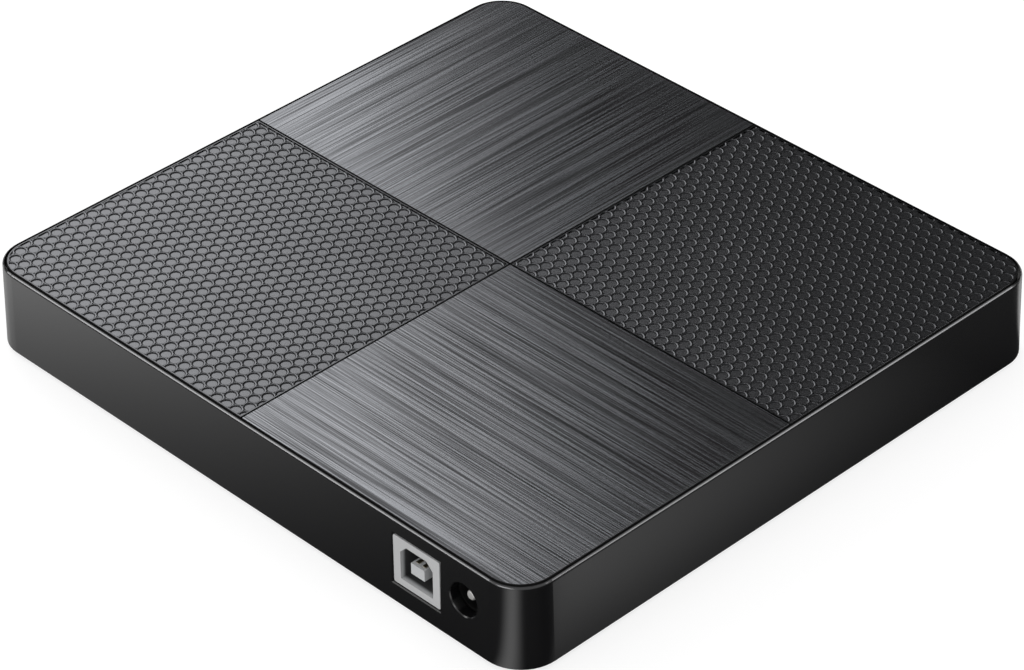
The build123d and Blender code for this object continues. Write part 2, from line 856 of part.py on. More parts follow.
# Plug-in connector in the rear wall of the drive, and its mate on the bridge board
with BuildPart() as drive_connector:
    extrude(
        slab(
            front_plane(drive_rear + lid_gap),
            connector_x - connector_width / 2,
            connector_x + connector_width / 2,
            connector_bottom,
            connector_bottom + connector_height,
        ),
        amount=connector_depth,
    )
    extrude(
        slab(
            front_plane(drive_rear + lid_gap),
            connector_x - connector_width / 2 + connector_wall,
            connector_x + connector_width / 2 - connector_wall,
            connector_bottom + connector_wall,
            connector_bottom + connector_height - connector_wall,
        ),
        amount=connector_depth / 2,
        mode=Mode.SUBTRACT,
    )
    extrude(
        slab(
            Plane.XY.offset(main_board_top),
            connector_x - connector_width / 2,
            connector_x + connector_width / 2,
            drive_rear + lid_gap - connector_depth,
            drive_rear - chassis_inside - lid_gap,
        ),
        amount=connector_bottom - main_board_top,
    )
drive_connector.part.label = "drive_connector"
export_step(drive_connector.part, "parts/drive_connector.step")

with BuildPart() as board_connector:
    extrude(
        slab(
            Plane.XY.offset(board_top),
            connector_x - connector_width / 2,
            connector_x + connector_width / 2,
            board_front,
            board_front + connector_depth,
        ),
        amount=connector_bottom + connector_height - board_top,
    )
    extrude(
        slab(
            front_plane(board_front),
            connector_x - connector_width / 2 + mate_wall,
            connector_x + connector_width / 2 - mate_wall,
            connector_bottom + mate_wall,
            connector_bottom + connector_height - mate_wall,
        ),
        amount=-mate_mouth,
    )
board_connector.part.label = "board_connector"
export_step(board_connector.part, "parts/board_connector.step")

# Flat ribbon cable between the drive's board and the tray's board, folded flat on the floor
ribbon_width = 16.0
ribbon_left = main_board_left + 2.0
ribbon_length = 50.0
ribbon_thickness = 0.12
with BuildPart() as ribbon_cable:
    extrude(
        slab(
            Plane.XY.offset(chassis_floor),
            ribbon_left,
            ribbon_left + ribbon_width,
            main_board_front - ribbon_length,
            main_board_front,
        ),
        amount=ribbon_thickness,
    )
ribbon_cable.part.label = "ribbon_cable"
export_step(ribbon_cable.part, "parts/ribbon_cable.step")

# Disc tray: a stepped well on top, a skirt all round below, and a rib along each side for the rails
skirt_bottom = tray_bottom + tray_cover_sheet
well_radius = disc_diameter / 2 + disc_clearance
finger_radius = 9.0
finger_reach = well_radius * math.sin(math.pi / 4)
tray_corner = 1.0
tray_rib_reach = drive_width / 2 - skirt_inset
with BuildPart() as disc_tray:
    extrude(drive_plan(tray_floor_bottom, tray_inset, bezel_back), amount=tray_top - tray_floor_bottom)
    fillet(disc_tray.edges().filter_by(Axis.Z), tray_corner)
    extrude(drive_plan(skirt_bottom, skirt_inset, bezel_back), amount=tray_floor_bottom - skirt_bottom)
    extrude(
        drive_plan(skirt_bottom, skirt_inset + tray_skirt, bezel_back + tray_skirt),
        amount=tray_floor_bottom - skirt_bottom,
        mode=Mode.SUBTRACT,
    )
    for side, rear in ((-1, left_rail_rear), (1, right_rail_rear)):
        rib = sorted((side * tray_rib_reach, side * (web_inside - rail_clearance)))
        extrude(
            slab(Plane.XY.offset(rail_level - rib_height / 2), rib[0], rib[1], rail_front, rear),
            amount=rib_height,
        )
    with BuildSketch(Plane.XY.offset(tray_floor_top)):
        with Locations((disc_x, disc_y)):
            Circle(well_radius)
    extrude(amount=tray_well_depth, mode=Mode.SUBTRACT)
    with BuildSketch(Plane.XY.offset(tray_floor_top - small_well_depth)):
        with Locations((disc_x, disc_y)):
            Circle(small_disc_diameter / 2 + disc_clearance)
    extrude(amount=small_well_depth, mode=Mode.SUBTRACT)
    with BuildSketch(Plane.XY.offset(tray_floor_top)):
        with Locations((disc_x, disc_y)):
            with Locations((-finger_reach, -finger_reach), (finger_reach, finger_reach)):
                Circle(finger_radius)
    extrude(amount=tray_well_depth, mode=Mode.SUBTRACT)
    extrude(
        slab(
            sled_plane(tray_bottom),
            traverse_back - traverse_clearance,
            traverse_front + traverse_clearance,
            traverse_left - traverse_clearance,
            traverse_right + traverse_clearance,
            traverse_radius + traverse_clearance,
        ),
        amount=drive_height,
        mode=Mode.SUBTRACT,
    )
    with BuildSketch(front_plane(bezel_back)):
        with Locations((button_x, front_control_z)):
            Circle(button_stem_diameter / 2 + button_clearance)
        with Locations((light_x, front_control_z)):
            Rectangle(light_width + 2 * button_clearance, light_height + 2 * button_clearance)
        with Locations((release_x, front_control_z)):
            Circle(release_diameter / 2)
    extrude(amount=-tray_skirt, mode=Mode.SUBTRACT)
    plunger_y = drive_rear - chassis_inside - plunger_gap
    with BuildSketch(front_plane(plunger_y)):
        with Locations((plunger_x, tray_floor_top)):
            Circle(plunger_head / 2 + button_clearance)
    extrude(amount=plunger_length + plunger_head, mode=Mode.SUBTRACT)
disc_tray.part.label = "disc_tray"
export_step(disc_tray.part, "parts/disc_tray.step")

# Sheet cover under the tray, with its vents and the pin that the latch turns on
vent_pitch_x = 18.0
vent_pitch_y = 6.0
vent_length = 12.0
vent_width = 2.0
tray_cover_gap = 0.3
tray_cover_inset = skirt_inset + tray_cover_gap
with BuildPart() as tray_cover:
    extrude(drive_plan(tray_bottom, tray_cover_inset, bezel_back + tray_cover_gap), amount=tray_cover_sheet)
    with BuildSketch(Plane.XY.offset(tray_bottom)):
        with GridLocations(vent_pitch_x, vent_pitch_y, 3, 3):
            SlotOverall(vent_length, vent_width)
    extrude(amount=tray_cover_sheet, mode=Mode.SUBTRACT)
    with BuildSketch(Plane.XY.offset(tray_bottom)):
        with Locations((latch_x, latch_y)):
            Circle(latch_pin_diameter / 2)
    extrude(amount=-(latch_thickness + 2 * latch_clearance))
tray_cover.part.label = "tray_cover"
export_step(tray_cover.part, "parts/tray_cover.step")

# Front bezel of the tray, flush with the case, with places for the button, the light and the release pin
with BuildPart() as tray_bezel:
    with BuildSketch(front_plane(bezel_back)):
        with Locations((0, front_control_z)):
            RectangleRounded(drive_width, drive_height, bezel_gap)
    extrude(amount=bezel_thickness)
    add(case_block(0, body_height), mode=Mode.INTERSECT)
    with BuildSketch(front_plane(-case_depth / 2)):
        with Locations((button_x, front_control_z)):
            SlotOverall(button_width + 2 * button_clearance, button_height + 2 * button_clearance)
    extrude(amount=-(bezel_thickness - button_collar), mode=Mode.SUBTRACT)
    with BuildSketch(front_plane(-case_depth / 2)):
        with Locations((button_x, front_control_z)):
            Circle(button_stem_diameter / 2 + button_clearance)
        with Locations((light_x, front_control_z)):
            Rectangle(light_width + 2 * button_clearance, light_height + 2 * button_clearance)
        with Locations((release_x, front_control_z)):
            Circle(release_diameter / 2)
    extrude(amount=-bezel_thickness, mode=Mode.SUBTRACT)
tray_bezel.part.label = "tray_bezel"
export_step(tray_bezel.part, "parts/tray_bezel.step")

# Light guide that brings the board's lamp to the front
control_face = (front_control_z - foot_height) * draft_slope + button_setback
control_front = control_face - case_depth / 2
board_front_gap = 0.4
tray_board_front = bezel_back + tray_skirt + board_front_gap
with BuildPart() as light_guide:
    with BuildSketch(front_plane(control_front)):
        with Locations((light_x, front_control_z)):
            Rectangle(light_width, light_height)
    extrude(amount=control_front - tray_board_front)
light_guide.part.label = "light_guide"
export_step(light_guide.part, "parts/light_guide.step")

# Eject button: a long round-ended cap on a thin stem that reaches the switch
button_depth = bezel_thickness - button_collar - button_travel - button_clearance - control_face
switch_front = tray_board_front + board_front_gap
with BuildPart() as eject_button:
    with BuildSketch(front_plane(control_front)):
        with Locations((button_x, front_control_z)):
            SlotOverall(button_width, button_height)
    extrude(amount=-button_depth)
    chamfer(eject_button.edges().group_by(Axis.Y)[0], button_clearance)
    with BuildSketch(front_plane(control_front + button_depth)):
        with Locations((button_x, front_control_z)):
            Circle(button_stem_diameter / 2)
    extrude(amount=-(switch_front - button_travel - button_setback - control_front - button_depth))
eject_button.part.label = "eject_button"
export_step(eject_button.part, "parts/eject_button.step")

# Tray's board, behind the front wall and under the well
tray_board_thickness = 0.8
tray_board_top = front_control_z - button_stem_diameter / 2 - button_clearance
tray_board_inset = 8.0
tray_board_margin = 7.0
tray_board_depth = 50.45
tray_board_left = tray_board_inset - drive_width / 2
tray_board_right = button_x + tray_board_margin
tray_board_rear = tray_board_front + tray_board_depth
board_slope = disc_x + disc_y + (traverse_left - traverse_clearance - board_drive_gap) * math.sqrt(2)
with BuildPart() as tray_board:
    with BuildSketch(Plane.XY.offset(tray_board_top - tray_board_thickness)):
        with BuildLine():
            Polyline(
                (tray_board_left, tray_board_front),
                (tray_board_right, tray_board_front),
                (tray_board_right, board_slope - tray_board_right),
                (board_slope - tray_board_rear, tray_board_rear),
                (tray_board_left, tray_board_rear),
                close=True,
            )
        make_face()
    extrude(amount=tray_board_thickness)
tray_board.part.label = "tray_board"
export_step(tray_board.part, "parts/tray_board.step")

# Push switch behind the button, lamp behind the light guide and ribbon socket on the tray's board
switch_width = 6.0
switch_depth = 4.0
switch_height = 2.4
lamp_width = 2.0
lamp_depth = 1.3
lamp_height = 1.8
lamp_gap = 0.1
ribbon_socket_inset = 12.0
ribbon_socket_gap = 5.0
ribbon_socket_left = tray_board_left + ribbon_socket_inset
ribbon_socket_width = 18.0
ribbon_socket_rear = tray_board_rear - ribbon_socket_gap
ribbon_socket_depth = 5.0
ribbon_socket_height = 1.4
with BuildPart() as tray_board_parts:
    extrude(
        slab(
            Plane.XY.offset(tray_board_top),
            button_x - switch_width / 2,
            button_x + switch_width / 2,
            switch_front,
            switch_front + switch_depth,
        ),
        amount=switch_height,
    )
    extrude(
        slab(
            Plane.XY.offset(tray_board_top),
            light_x - lamp_width / 2,
            light_x + lamp_width / 2,
            tray_board_front + lamp_gap,
            tray_board_front + lamp_gap + lamp_depth,
        ),
        amount=lamp_height,
    )
    extrude(
        slab(
            Plane.XY.offset(tray_board_top),
            ribbon_socket_left,
            ribbon_socket_left + ribbon_socket_width,
            ribbon_socket_rear - ribbon_socket_depth,
            ribbon_socket_rear,
        ),
        amount=ribbon_socket_height,
    )
tray_board_parts.part.label = "tray_board_parts"
export_step(tray_board_parts.part, "parts/tray_board_parts.step")

# Traverse frame: a pressed tray with a window over the pickup and a round hole over the spindle
frame_lift = 0.2
frame_bottom = tray_bottom + tray_cover_sheet + frame_lift
window_radius = 1.0
with BuildPart() as traverse_frame:
    extrude(
        slab(
            sled_plane(frame_bottom),
            traverse_back,
            traverse_front,
            traverse_left,
            traverse_right,
            traverse_radius,
        ),
        amount=traverse_level - frame_bottom,
    )
    extrude(
        slab(
            sled_plane(frame_bottom),
            traverse_back + traverse_wall,
            traverse_front - traverse_wall,
            traverse_left + traverse_wall,
            traverse_right - traverse_wall,
            traverse_radius - traverse_wall,
        ),
        amount=traverse_level - traverse_sheet - frame_bottom,
        mode=Mode.SUBTRACT,
    )
    extrude(
        slab(
            sled_plane(frame_bottom),
            motor_front,
            traverse_front - traverse_border,
            traverse_left + traverse_border,
            traverse_right - traverse_border,
            window_radius,
        ),
        amount=drive_height,
        mode=Mode.SUBTRACT,
    )
    extrude(
        slab(
            sled_plane(frame_bottom),
            motor_front - motor_length - traverse_clearance,
            motor_front,
            screw_side - motor_diameter / 2 - traverse_clearance / 2,
            screw_side + motor_diameter / 2 + traverse_clearance / 2,
        ),
        amount=drive_height,
        mode=Mode.SUBTRACT,
    )
    with BuildSketch(sled_plane(frame_bottom)):
        Circle(stator_diameter / 2 + traverse_clearance)
    extrude(amount=drive_height, mode=Mode.SUBTRACT)
traverse_frame.part.label = "traverse_frame"
export_step(traverse_frame.part, "parts/traverse_frame.step")

# Plate round the pickup slot, which fills the opening in the tray's floor
cover_bottom = tray_floor_bottom
slot_margin = 2.0
slot_left = rod_left - slot_margin
slot_right = rod_right - slot_margin
with BuildPart() as traverse_cover:
    extrude(
        slab(
            sled_plane(cover_bottom),
            traverse_back - traverse_clearance + cover_clearance,
            traverse_front + traverse_clearance - cover_clearance,
            traverse_left - traverse_clearance + cover_clearance,
            traverse_right + traverse_clearance - cover_clearance,
            traverse_radius + traverse_clearance - cover_clearance,
        ),
        amount=cover_sheet,
    )
    extrude(
        slab(
            sled_plane(cover_bottom),
            0,
            sled_start + sled_length + sled_travel + running_clearance,
            slot_left,
            slot_right,
            window_radius,
        ),
        amount=cover_sheet,
        mode=Mode.SUBTRACT,
    )
    with BuildSketch(sled_plane(cover_bottom)):
        Circle(hub_opening_diameter / 2)
    extrude(amount=cover_sheet, mode=Mode.SUBTRACT)
    with BuildSketch(sled_plane(traverse_level)):
        with Locations(
            (traverse_back + traverse_radius, traverse_right - traverse_border),
            (traverse_front - traverse_radius, traverse_right - traverse_border / 2),
            (traverse_front - traverse_radius, traverse_left + traverse_border / 2),
        ):
            Circle(traverse_border / 2)
    extrude(amount=cover_bottom - traverse_level)
traverse_cover.part.label = "traverse_cover"
export_step(traverse_cover.part, "parts/traverse_cover.step")

# Motor plate and stator of the spindle, held inside the traverse frame
plate_sheet = 0.5
stator_bottom = frame_bottom + plate_sheet
with BuildPart() as spindle_stator:
    extrude(
        slab(
            sled_plane(frame_bottom),
            traverse_back + traverse_wall,
            rod_start,
            rod_left - rod_diameter / 2,
            traverse_right - traverse_wall,
            traverse_radius - traverse_wall,
        ),
        amount=plate_sheet,
    )
    with BuildSketch(sled_plane(stator_bottom)):
        Circle(stator_diameter / 2)
    extrude(amount=stator_height)
    with BuildSketch(sled_plane(stator_bottom)):
        Circle(shaft_diameter)
    extrude(amount=stator_height + rotor_height - rotor_gap)
    with BuildSketch(sled_plane(stator_bottom)):
        Circle(shaft_diameter / 2 + running_clearance)
    extrude(amount=stator_height + rotor_height, mode=Mode.SUBTRACT)
spindle_stator.part.label = "spindle_stator"
export_step(spindle_stator.part, "parts/spindle_stator.step")

# Rotor cup and turntable with the hub that centres the disc, turned as one piece round the shaft
rotor_bottom = stator_bottom + stator_height + rotor_gap
rotor_top = rotor_bottom + rotor_height
hub_radius = disc_hole_diameter / 2 - hub_clearance
seat_top = disc_seat - ring_thickness
with BuildPart() as turntable:
    with BuildSketch(disc_axis_profile()):
        with BuildLine():
            Polyline(
                (0, stator_bottom + rotor_gap),
                (shaft_diameter / 2, stator_bottom + rotor_gap),
                (shaft_diameter / 2, rotor_top - rotor_wall + rotor_gap),
                (stator_diameter / 2 - 2 * rotor_wall, rotor_top - rotor_wall + rotor_gap),
                (stator_diameter / 2 - 2 * rotor_wall, rotor_bottom),
                (stator_diameter / 2 - rotor_wall / 2, rotor_bottom),
                (stator_diameter / 2 - rotor_wall / 2, rotor_top + rotor_wall / 2),
                (hub_radius, rotor_top + rotor_wall / 2),
                (hub_radius, seat_top - turntable_thickness),
                (turntable_diameter / 2, seat_top - turntable_thickness),
                (turntable_diameter / 2, seat_top),
                (hub_radius, seat_top),
                (hub_radius, disc_seat + hub_height - 2 * jaw_height),
                (hub_radius - jaw_height, disc_seat + hub_height),
                (0, disc_seat + hub_height),
                close=True,
            )
        make_face()
    revolve(axis=disc_axis)
    with BuildSketch(sled_plane(disc_seat)):
        with PolarLocations(hub_radius - (jaw_width + jaw_travel + running_clearance) / 2, 3):
            Rectangle(jaw_width + jaw_travel + running_clearance, jaw_width + 2 * running_clearance)
    extrude(amount=hub_height, mode=Mode.SUBTRACT)
turntable.part.label = "turntable"
export_step(turntable.part, "parts/turntable.step")

# Rubber ring that the disc rests on
with BuildPart() as turntable_ring:
    with BuildSketch(sled_plane(seat_top)):
        Circle(turntable_diameter / 2 - running_clearance)
        Circle(turntable_diameter / 2 - running_clearance - ring_width, mode=Mode.SUBTRACT)
    extrude(amount=ring_thickness)
turntable_ring.part.label = "turntable_ring"
export_step(turntable_ring.part, "parts/turntable_ring.step")

# Three spring jaws that grip the disc from inside its hole, each with a lip at its top
for number in (1, 2, 3):
    jaw_plane = sled_plane(disc_seat).rotated((0, 0, 120.0 * (number - 1)))
    with BuildPart() as hub_jaw:
        extrude(
            slab(jaw_plane, hub_radius - jaw_width, hub_radius, -jaw_width / 2, jaw_width / 2),
            amount=hub_height - jaw_height,
        )
        extrude(
            slab(
                jaw_plane.offset(hub_height - 2 * jaw_height),
                hub_radius - jaw_width,
                hub_radius + jaw_reach,
                -jaw_width / 2,
                jaw_width / 2,
            ),
            amount=jaw_height,
        )
        chamfer(hub_jaw.faces().sort_by(Axis.Z)[-1].edges(), jaw_reach / 2)
    hub_jaw.part.label = f"hub_jaw_{number}"
    export_step(hub_jaw.part, f"parts/hub_jaw_{number}.step")

# Two polished rods that the pickup slides on, with the blocks that hold their inner ends
rod_end = traverse_front - traverse_wall - rod_end_gap
with BuildPart() as guide_rods:
    for side in (rod_left, rod_right):
        with BuildSketch(square_to_slide(rod_start, side, rod_level)):
            Circle(rod_diameter / 2)
        extrude(amount=rod_end - rod_start)
guide_rods.part.label = "guide_rods"
export_step(guide_rods.part, "parts/guide_rods.step")

# Stepping motor of the pickup, beside the spindle
with BuildPart() as sled_motor:
    with BuildSketch(square_to_slide(motor_front - motor_length, screw_side, screw_level)):
        Circle(motor_diameter / 2)
    extrude(amount=motor_length)
    chamfer(sled_motor.edges(), motor_chamfer)
sled_motor.part.label = "sled_motor"
export_step(sled_motor.part, "parts/sled_motor.step")

# Lead screw from the motor to the far wall of the traverse
lead_length = rod_end - motor_front - 2 * rod_end_gap
with BuildPart() as lead_screw:
    with BuildSketch(square_to_slide(motor_front + rod_end_gap, screw_side, screw_level)):
        Circle(lead_diameter / 2)
    extrude(amount=lead_length)
lead_screw.part.label = "lead_screw"
export_step(lead_screw.part, "parts/lead_screw.step")

# Pickup sled: a cast body with a bearing on each rod, a hollow for the lens and an arm to the lead screw
sled_bottom = rod_level - sled_height / 2
sled_end = sled_start + sled_length
sled_radius = 0.6
sled_rise = 0.4
sled_slot_gap = 0.6
sled_arm_start = 5.0
sled_arm_width = 4.0
sled_arm_wall = 0.4
thread_clearance = 0.12
pocket_clearance = 0.4
block_top = traverse_level + sled_rise
block_left = slot_left + sled_slot_gap
block_right = slot_right - sled_slot_gap
pocket_floor = lens_top - lens_height - holder_height - lens_travel - pocket_clearance
pocket_side = holder_width / 2 + holder_gap + magnet_thickness
with BuildPart() as pickup_sled:
    extrude(
        slab(
            sled_plane(sled_bottom),
            sled_start,
            sled_end,
            rod_left - sled_side,
            rod_right + sled_side,
            sled_radius,
        ),
        amount=sled_height,
    )
    extrude(
        slab(sled_plane(sled_bottom), sled_start, sled_end, block_left, block_right, sled_radius),
        amount=block_top - sled_bottom,
    )
    for side in (rod_left, rod_right):
        with BuildSketch(square_to_slide(sled_start, side, rod_level)):
            Circle(rod_diameter / 2 + running_clearance)
        extrude(amount=sled_length, mode=Mode.SUBTRACT)
    extrude(
        slab(
            sled_plane(sled_bottom),
            sled_start + sled_arm_start,
            sled_start + sled_arm_start + sled_arm_width,
            screw_side - lead_diameter / 2 - sled_arm_wall,
            rod_left - sled_side,
        ),
        amount=sled_height,
    )
    with BuildSketch(square_to_slide(sled_start, screw_side, screw_level)):
        Circle(lead_diameter / 2 + thread_clearance)
    extrude(amount=sled_length, mode=Mode.SUBTRACT)
    with BuildSketch(sled_plane(sled_bottom)):
        Circle(stator_diameter / 2 + traverse_clearance)
    extrude(amount=drive_height, mode=Mode.SUBTRACT)
    extrude(
        slab(
            sled_plane(pocket_floor),
            lens_reach - holder_length / 2 - holder_gap,
            lens_reach + holder_length / 2,
            -pocket_side,
            pocket_side,
        ),
        amount=drive_height,
        mode=Mode.SUBTRACT,
    )
pickup_sled.part.label = "pickup_sled"
export_step(pickup_sled.part, "parts/pickup_sled.step")

# Two magnets that face the lens holder from the sides of the hollow
with BuildPart() as focus_magnets:
    for side in (-1, 1):
        reach = sorted((side * pocket_side, side * (pocket_side - magnet_thickness)))
        extrude(
            slab(
                sled_plane(pocket_floor),
                lens_reach - holder_length / 2,
                lens_reach + holder_length / 2 - holder_gap,
                reach[0],
                reach[1],
            ),
            amount=block_top - pocket_floor,
        )
focus_magnets.part.label = "focus_magnets"
export_step(focus_magnets.part, "parts/focus_magnets.step")

# Thin sheet cover on top of the sled, open over the lens
cover_start = sled_start + 1.1
with BuildPart() as pickup_cover:
    extrude(
        slab(sled_plane(block_top), cover_start, sled_end, block_left, block_right, sled_radius),
        amount=pickup_sheet,
    )
    extrude(
        slab(
            sled_plane(block_top),
            lens_reach - holder_length / 2 - holder_gap,
            sled_end,
            -pocket_side,
            pocket_side,
        ),
        amount=pickup_sheet,
        mode=Mode.SUBTRACT,
    )
    with BuildSketch(sled_plane(block_top)):
        Circle(stator_diameter / 2 + traverse_clearance)
    extrude(amount=pickup_sheet, mode=Mode.SUBTRACT)
pickup_cover.part.label = "pickup_cover"
export_step(pickup_cover.part, "parts/pickup_cover.step")

# Lens holder, which floats in the hollow of the sled
holder_top = lens_top - lens_height
holder_radius = 0.8
with BuildPart() as lens_holder:
    extrude(
        slab(
            sled_plane(holder_top),
            lens_reach - holder_length / 2,
            lens_reach + holder_length / 2 - holder_gap,
            -holder_width / 2,
            holder_width / 2,
            holder_radius,
        ),
        amount=-holder_height,
    )
lens_holder.part.label = "lens_holder"
export_step(lens_holder.part, "parts/lens_holder.step")

# Objective lens, domed on top
lens_round = 0.48
with BuildPart() as objective_lens:
    with BuildSketch(sled_plane(holder_top)):
        with Locations((lens_reach, 0)):
            Circle(lens_diameter / 2)
    extrude(amount=lens_height)
    fillet(objective_lens.edges().group_by(Axis.Z)[-1], lens_round)
objective_lens.part.label = "objective_lens"
export_step(objective_lens.part, "parts/objective_lens.step")

# Latch lever under the tray, shown swung clear of its post
latch_top = tray_bottom - latch_clearance
latch_bore = latch_pin_diameter + 0.24
with BuildPart() as latch_lever:
    with BuildSketch(Plane.XY.offset(latch_top)):
        with Locations((latch_x, latch_y)):
            Circle(latch_width)
        with Locations((latch_x, latch_y + latch_length / 2)):
            Rectangle(latch_width, latch_length)
        with Locations((latch_x + latch_hook / 2, latch_y + latch_length - latch_width / 2)):
            Rectangle(latch_hook, latch_width)
        with Locations((latch_x, latch_y)):
            Circle(latch_bore / 2, mode=Mode.SUBTRACT)
    extrude(amount=-latch_thickness)
latch_lever.part.label = "latch_lever"
export_step(latch_lever.part, "parts/latch_lever.step")

# Solenoid above the tray's cover that pulls the latch
with BuildPart() as latch_solenoid:
    extrude(
        slab(
            Plane.XY.offset(skirt_bottom),
            latch_x - solenoid_width / 2,
            latch_x + solenoid_width / 2,
            latch_y + solenoid_reach,
            latch_y + solenoid_reach + solenoid_length,
        ),
        amount=solenoid_height,
    )
latch_solenoid.part.label = "latch_solenoid"
export_step(latch_solenoid.part, "parts/latch_solenoid.step")

# Ejector plunger in the rear edge of the tray, pressed in by the rear wall while the tray is shut
with BuildPart() as eject_plunger:
    with BuildSketch(front_plane(plunger_y)):
        with Locations((plunger_x, tray_floor_top)):
            Circle(plunger_head / 2)
    extrude(amount=plunger_head_thickness)
    with BuildSketch(front_plane(plunger_y)):
        with Locations((plunger_x, tray_floor_top)):
            Circle(plunger_diameter / 2)
    extrude(amount=plunger_length)
eject_plunger.part.label = "eject_plunger"
export_step(eject_plunger.part, "parts/eject_plunger.step")
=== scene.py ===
"""Looks of a slim external disc drive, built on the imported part. Lengths are in metres."""
import math

import bmesh
import bpy
import numpy as np
from mathutils import Matrix, Vector


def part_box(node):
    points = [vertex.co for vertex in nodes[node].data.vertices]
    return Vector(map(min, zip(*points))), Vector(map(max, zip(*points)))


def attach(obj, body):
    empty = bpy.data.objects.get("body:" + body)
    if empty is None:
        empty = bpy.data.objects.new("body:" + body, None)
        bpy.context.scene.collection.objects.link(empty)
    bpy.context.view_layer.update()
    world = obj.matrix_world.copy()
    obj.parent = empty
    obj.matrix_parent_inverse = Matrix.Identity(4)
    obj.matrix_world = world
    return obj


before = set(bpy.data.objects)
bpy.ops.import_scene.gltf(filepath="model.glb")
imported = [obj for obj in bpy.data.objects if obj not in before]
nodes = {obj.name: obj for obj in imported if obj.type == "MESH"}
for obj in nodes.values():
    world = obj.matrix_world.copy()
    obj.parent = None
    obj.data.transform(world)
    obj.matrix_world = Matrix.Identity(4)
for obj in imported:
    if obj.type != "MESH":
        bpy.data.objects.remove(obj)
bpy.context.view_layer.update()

# Camera: a long lens above the drive's rear left corner. Its place and its lens were worked out from the
# case edges and the data socket as they stand in the photograph.
yaw, pitch, roll = math.radians(45.852), math.radians(35.82), math.radians(0.718)
offset_right, offset_down, distance = -0.000164, 0.001059, 0.806718
foot_height = 0.001
image_width, sensor_width, focal_pixels = 1024, 36.0, 4088.565
nearest_seen, farthest_seen = 0.01, 20

forward = Vector((math.sin(yaw) * math.cos(pitch), -math.cos(yaw) * math.cos(pitch), -math.sin(pitch)))
level_right = forward.cross(Vector((0, 0, 1))).normalized()
level_down = forward.cross(level_right)
right = math.cos(roll) * level_right + math.sin(roll) * level_down
down = math.cos(roll) * level_down - math.sin(roll) * level_right
camera_place = Vector((0, 0, foot_height)) - offset_right * right - offset_down * down - distance * forward
camera_turn = Matrix((right, -down, -forward)).transposed().to_4x4()

camera_data = bpy.data.cameras.new("camera")
camera_data.sensor_width = sensor_width
camera_data.lens = focal_pixels * sensor_width / image_width
camera_data.clip_start, camera_data.clip_end = nearest_seen, farthest_seen
camera = bpy.data.objects.new("camera", camera_data)
camera.matrix_world = Matrix.Translation(camera_place) @ camera_turn
bpy.context.scene.collection.objects.link(camera)
bpy.context.scene.camera = camera
bpy.context.scene.view_settings.view_transform = "Standard"


# Floor, backdrop and lamps: a plain white studio with seven soft boxes. The camera sees a white floor with
# the drive's faint shadow. The walls mirror a dim floor with pools of light behind the drive, beside it and
# at two of its corners. The floor is clear when seen from below.
class Level:
    """A number that varies over a surface. Arithmetic on it adds the Math nodes that work it out."""

    def __init__(self, finish, socket):
        self.finish, self.socket = finish, socket

    def with_math(self, operation, *values):
        return self.finish.node("Math", {"operation": operation}, dict(enumerate(values)))

    def __add__(self, other):
        return self.with_math("ADD", self, other)

    def __sub__(self, other):
        return self.with_math("SUBTRACT", self, other)

    def __rsub__(self, other):
        return self.with_math("SUBTRACT", other, self)

    def __mul__(self, other):
        return self.with_math("MULTIPLY", self, other)

    def __gt__(self, other):
        return self.with_math("GREATER_THAN", self, other)

    def __lt__(self, other):
        return self.with_math("LESS_THAN", self, other)

    def __abs__(self):
        return self.with_math("ABSOLUTE", self)

    __radd__, __rmul__ = __add__, __mul__


class Finish:
    """A material or a world in the making. node() adds any node: its settings first, then its sockets."""

    def __init__(self, owner):
        self.owner = owner
        owner.use_nodes = True
        self.tree = owner.node_tree
        self.tree.nodes.clear()

    def node(self, kind, settings, sockets, output=0):
        made = self.tree.nodes.new("ShaderNode" + kind)
        for name, value in settings.items():
            setattr(made, name, value)
        for name, value in sockets.items():
            if isinstance(value, Level):
                self.tree.links.new(value.socket, made.inputs[name])
            else:
                made.inputs[name].default_value = value
        return Level(self, made.outputs[output]) if made.outputs else made

    def mix(self, factor, low, high):
        """A colour between two colours."""
        return self.node("Mix", {"data_type": "RGBA"}, {0: factor, 6: low, 7: high}, 2)

    def grey(self, level):
        """A grey of that level, 0 for black and 1 for white."""
        return self.mix(level, (0, 0, 0, 1), (1, 1, 1, 1))

    def place(self, axes, source="Object"):
        """Where a point lies along each of those axes. For a world, Generated gives the ray's direction."""
        return [self.node("SeparateXYZ", {}, {0: self.node("TexCoord", {}, {}, source)}, axis)
                for axis in axes]


def ray_is(finish, kind):
    """One for rays of that kind, nought for the others."""
    return finish.node("LightPath", {}, {}, "Is " + kind + " Ray")


def ramp(finish, value, start, end, first=0.0, last=1.0, kind="LINEAR"):
    """Goes evenly from the first level to the last as the value goes from start to end."""
    return finish.node("MapRange", {"interpolation_type": kind}, {
        "Value": value, "From Min": start, "From Max": end, "To Min": first, "To Max": last})


def fade(finish, value, start, end, first, last):
    """Goes smoothly from the first level to the last as the value goes from start to end."""
    return ramp(finish, value, start, end, first, last, "SMOOTHSTEP")


def wedge(finish, x, y, corner, azimuth, spread):
    """One along a ray over the floor from a corner of the case, soft at both its sides."""
    turn = finish.node("Math", {"operation": "ARCTAN2"}, {0: y - corner[1], 1: x - corner[0]})
    return fade(finish, abs(turn - math.radians(azimuth)), 0.0, math.radians(spread), 1.0, 0.0)


floor_size, floor_drop = 6.0, 0.0001
floor_glow, unseen_glow_share = 0.76, 0.4
floor_colour, mirrored_colour, mirrored_level = (0.33, 0.33, 0.33, 1), (0.02, 0.02, 0.02, 1), 0.5
# The pool behind the drive: where it begins, brightens along the wall, rises and ends, and its levels.
behind_lines, rear_run, rear_rise, rear_end = (0.06, 0.071), (-0.06, 0.09), (0.068, 0.1), (0.103, 0.115)
rear_gain, rear_least, rear_near_share = 1.15, 0.04, 0.6
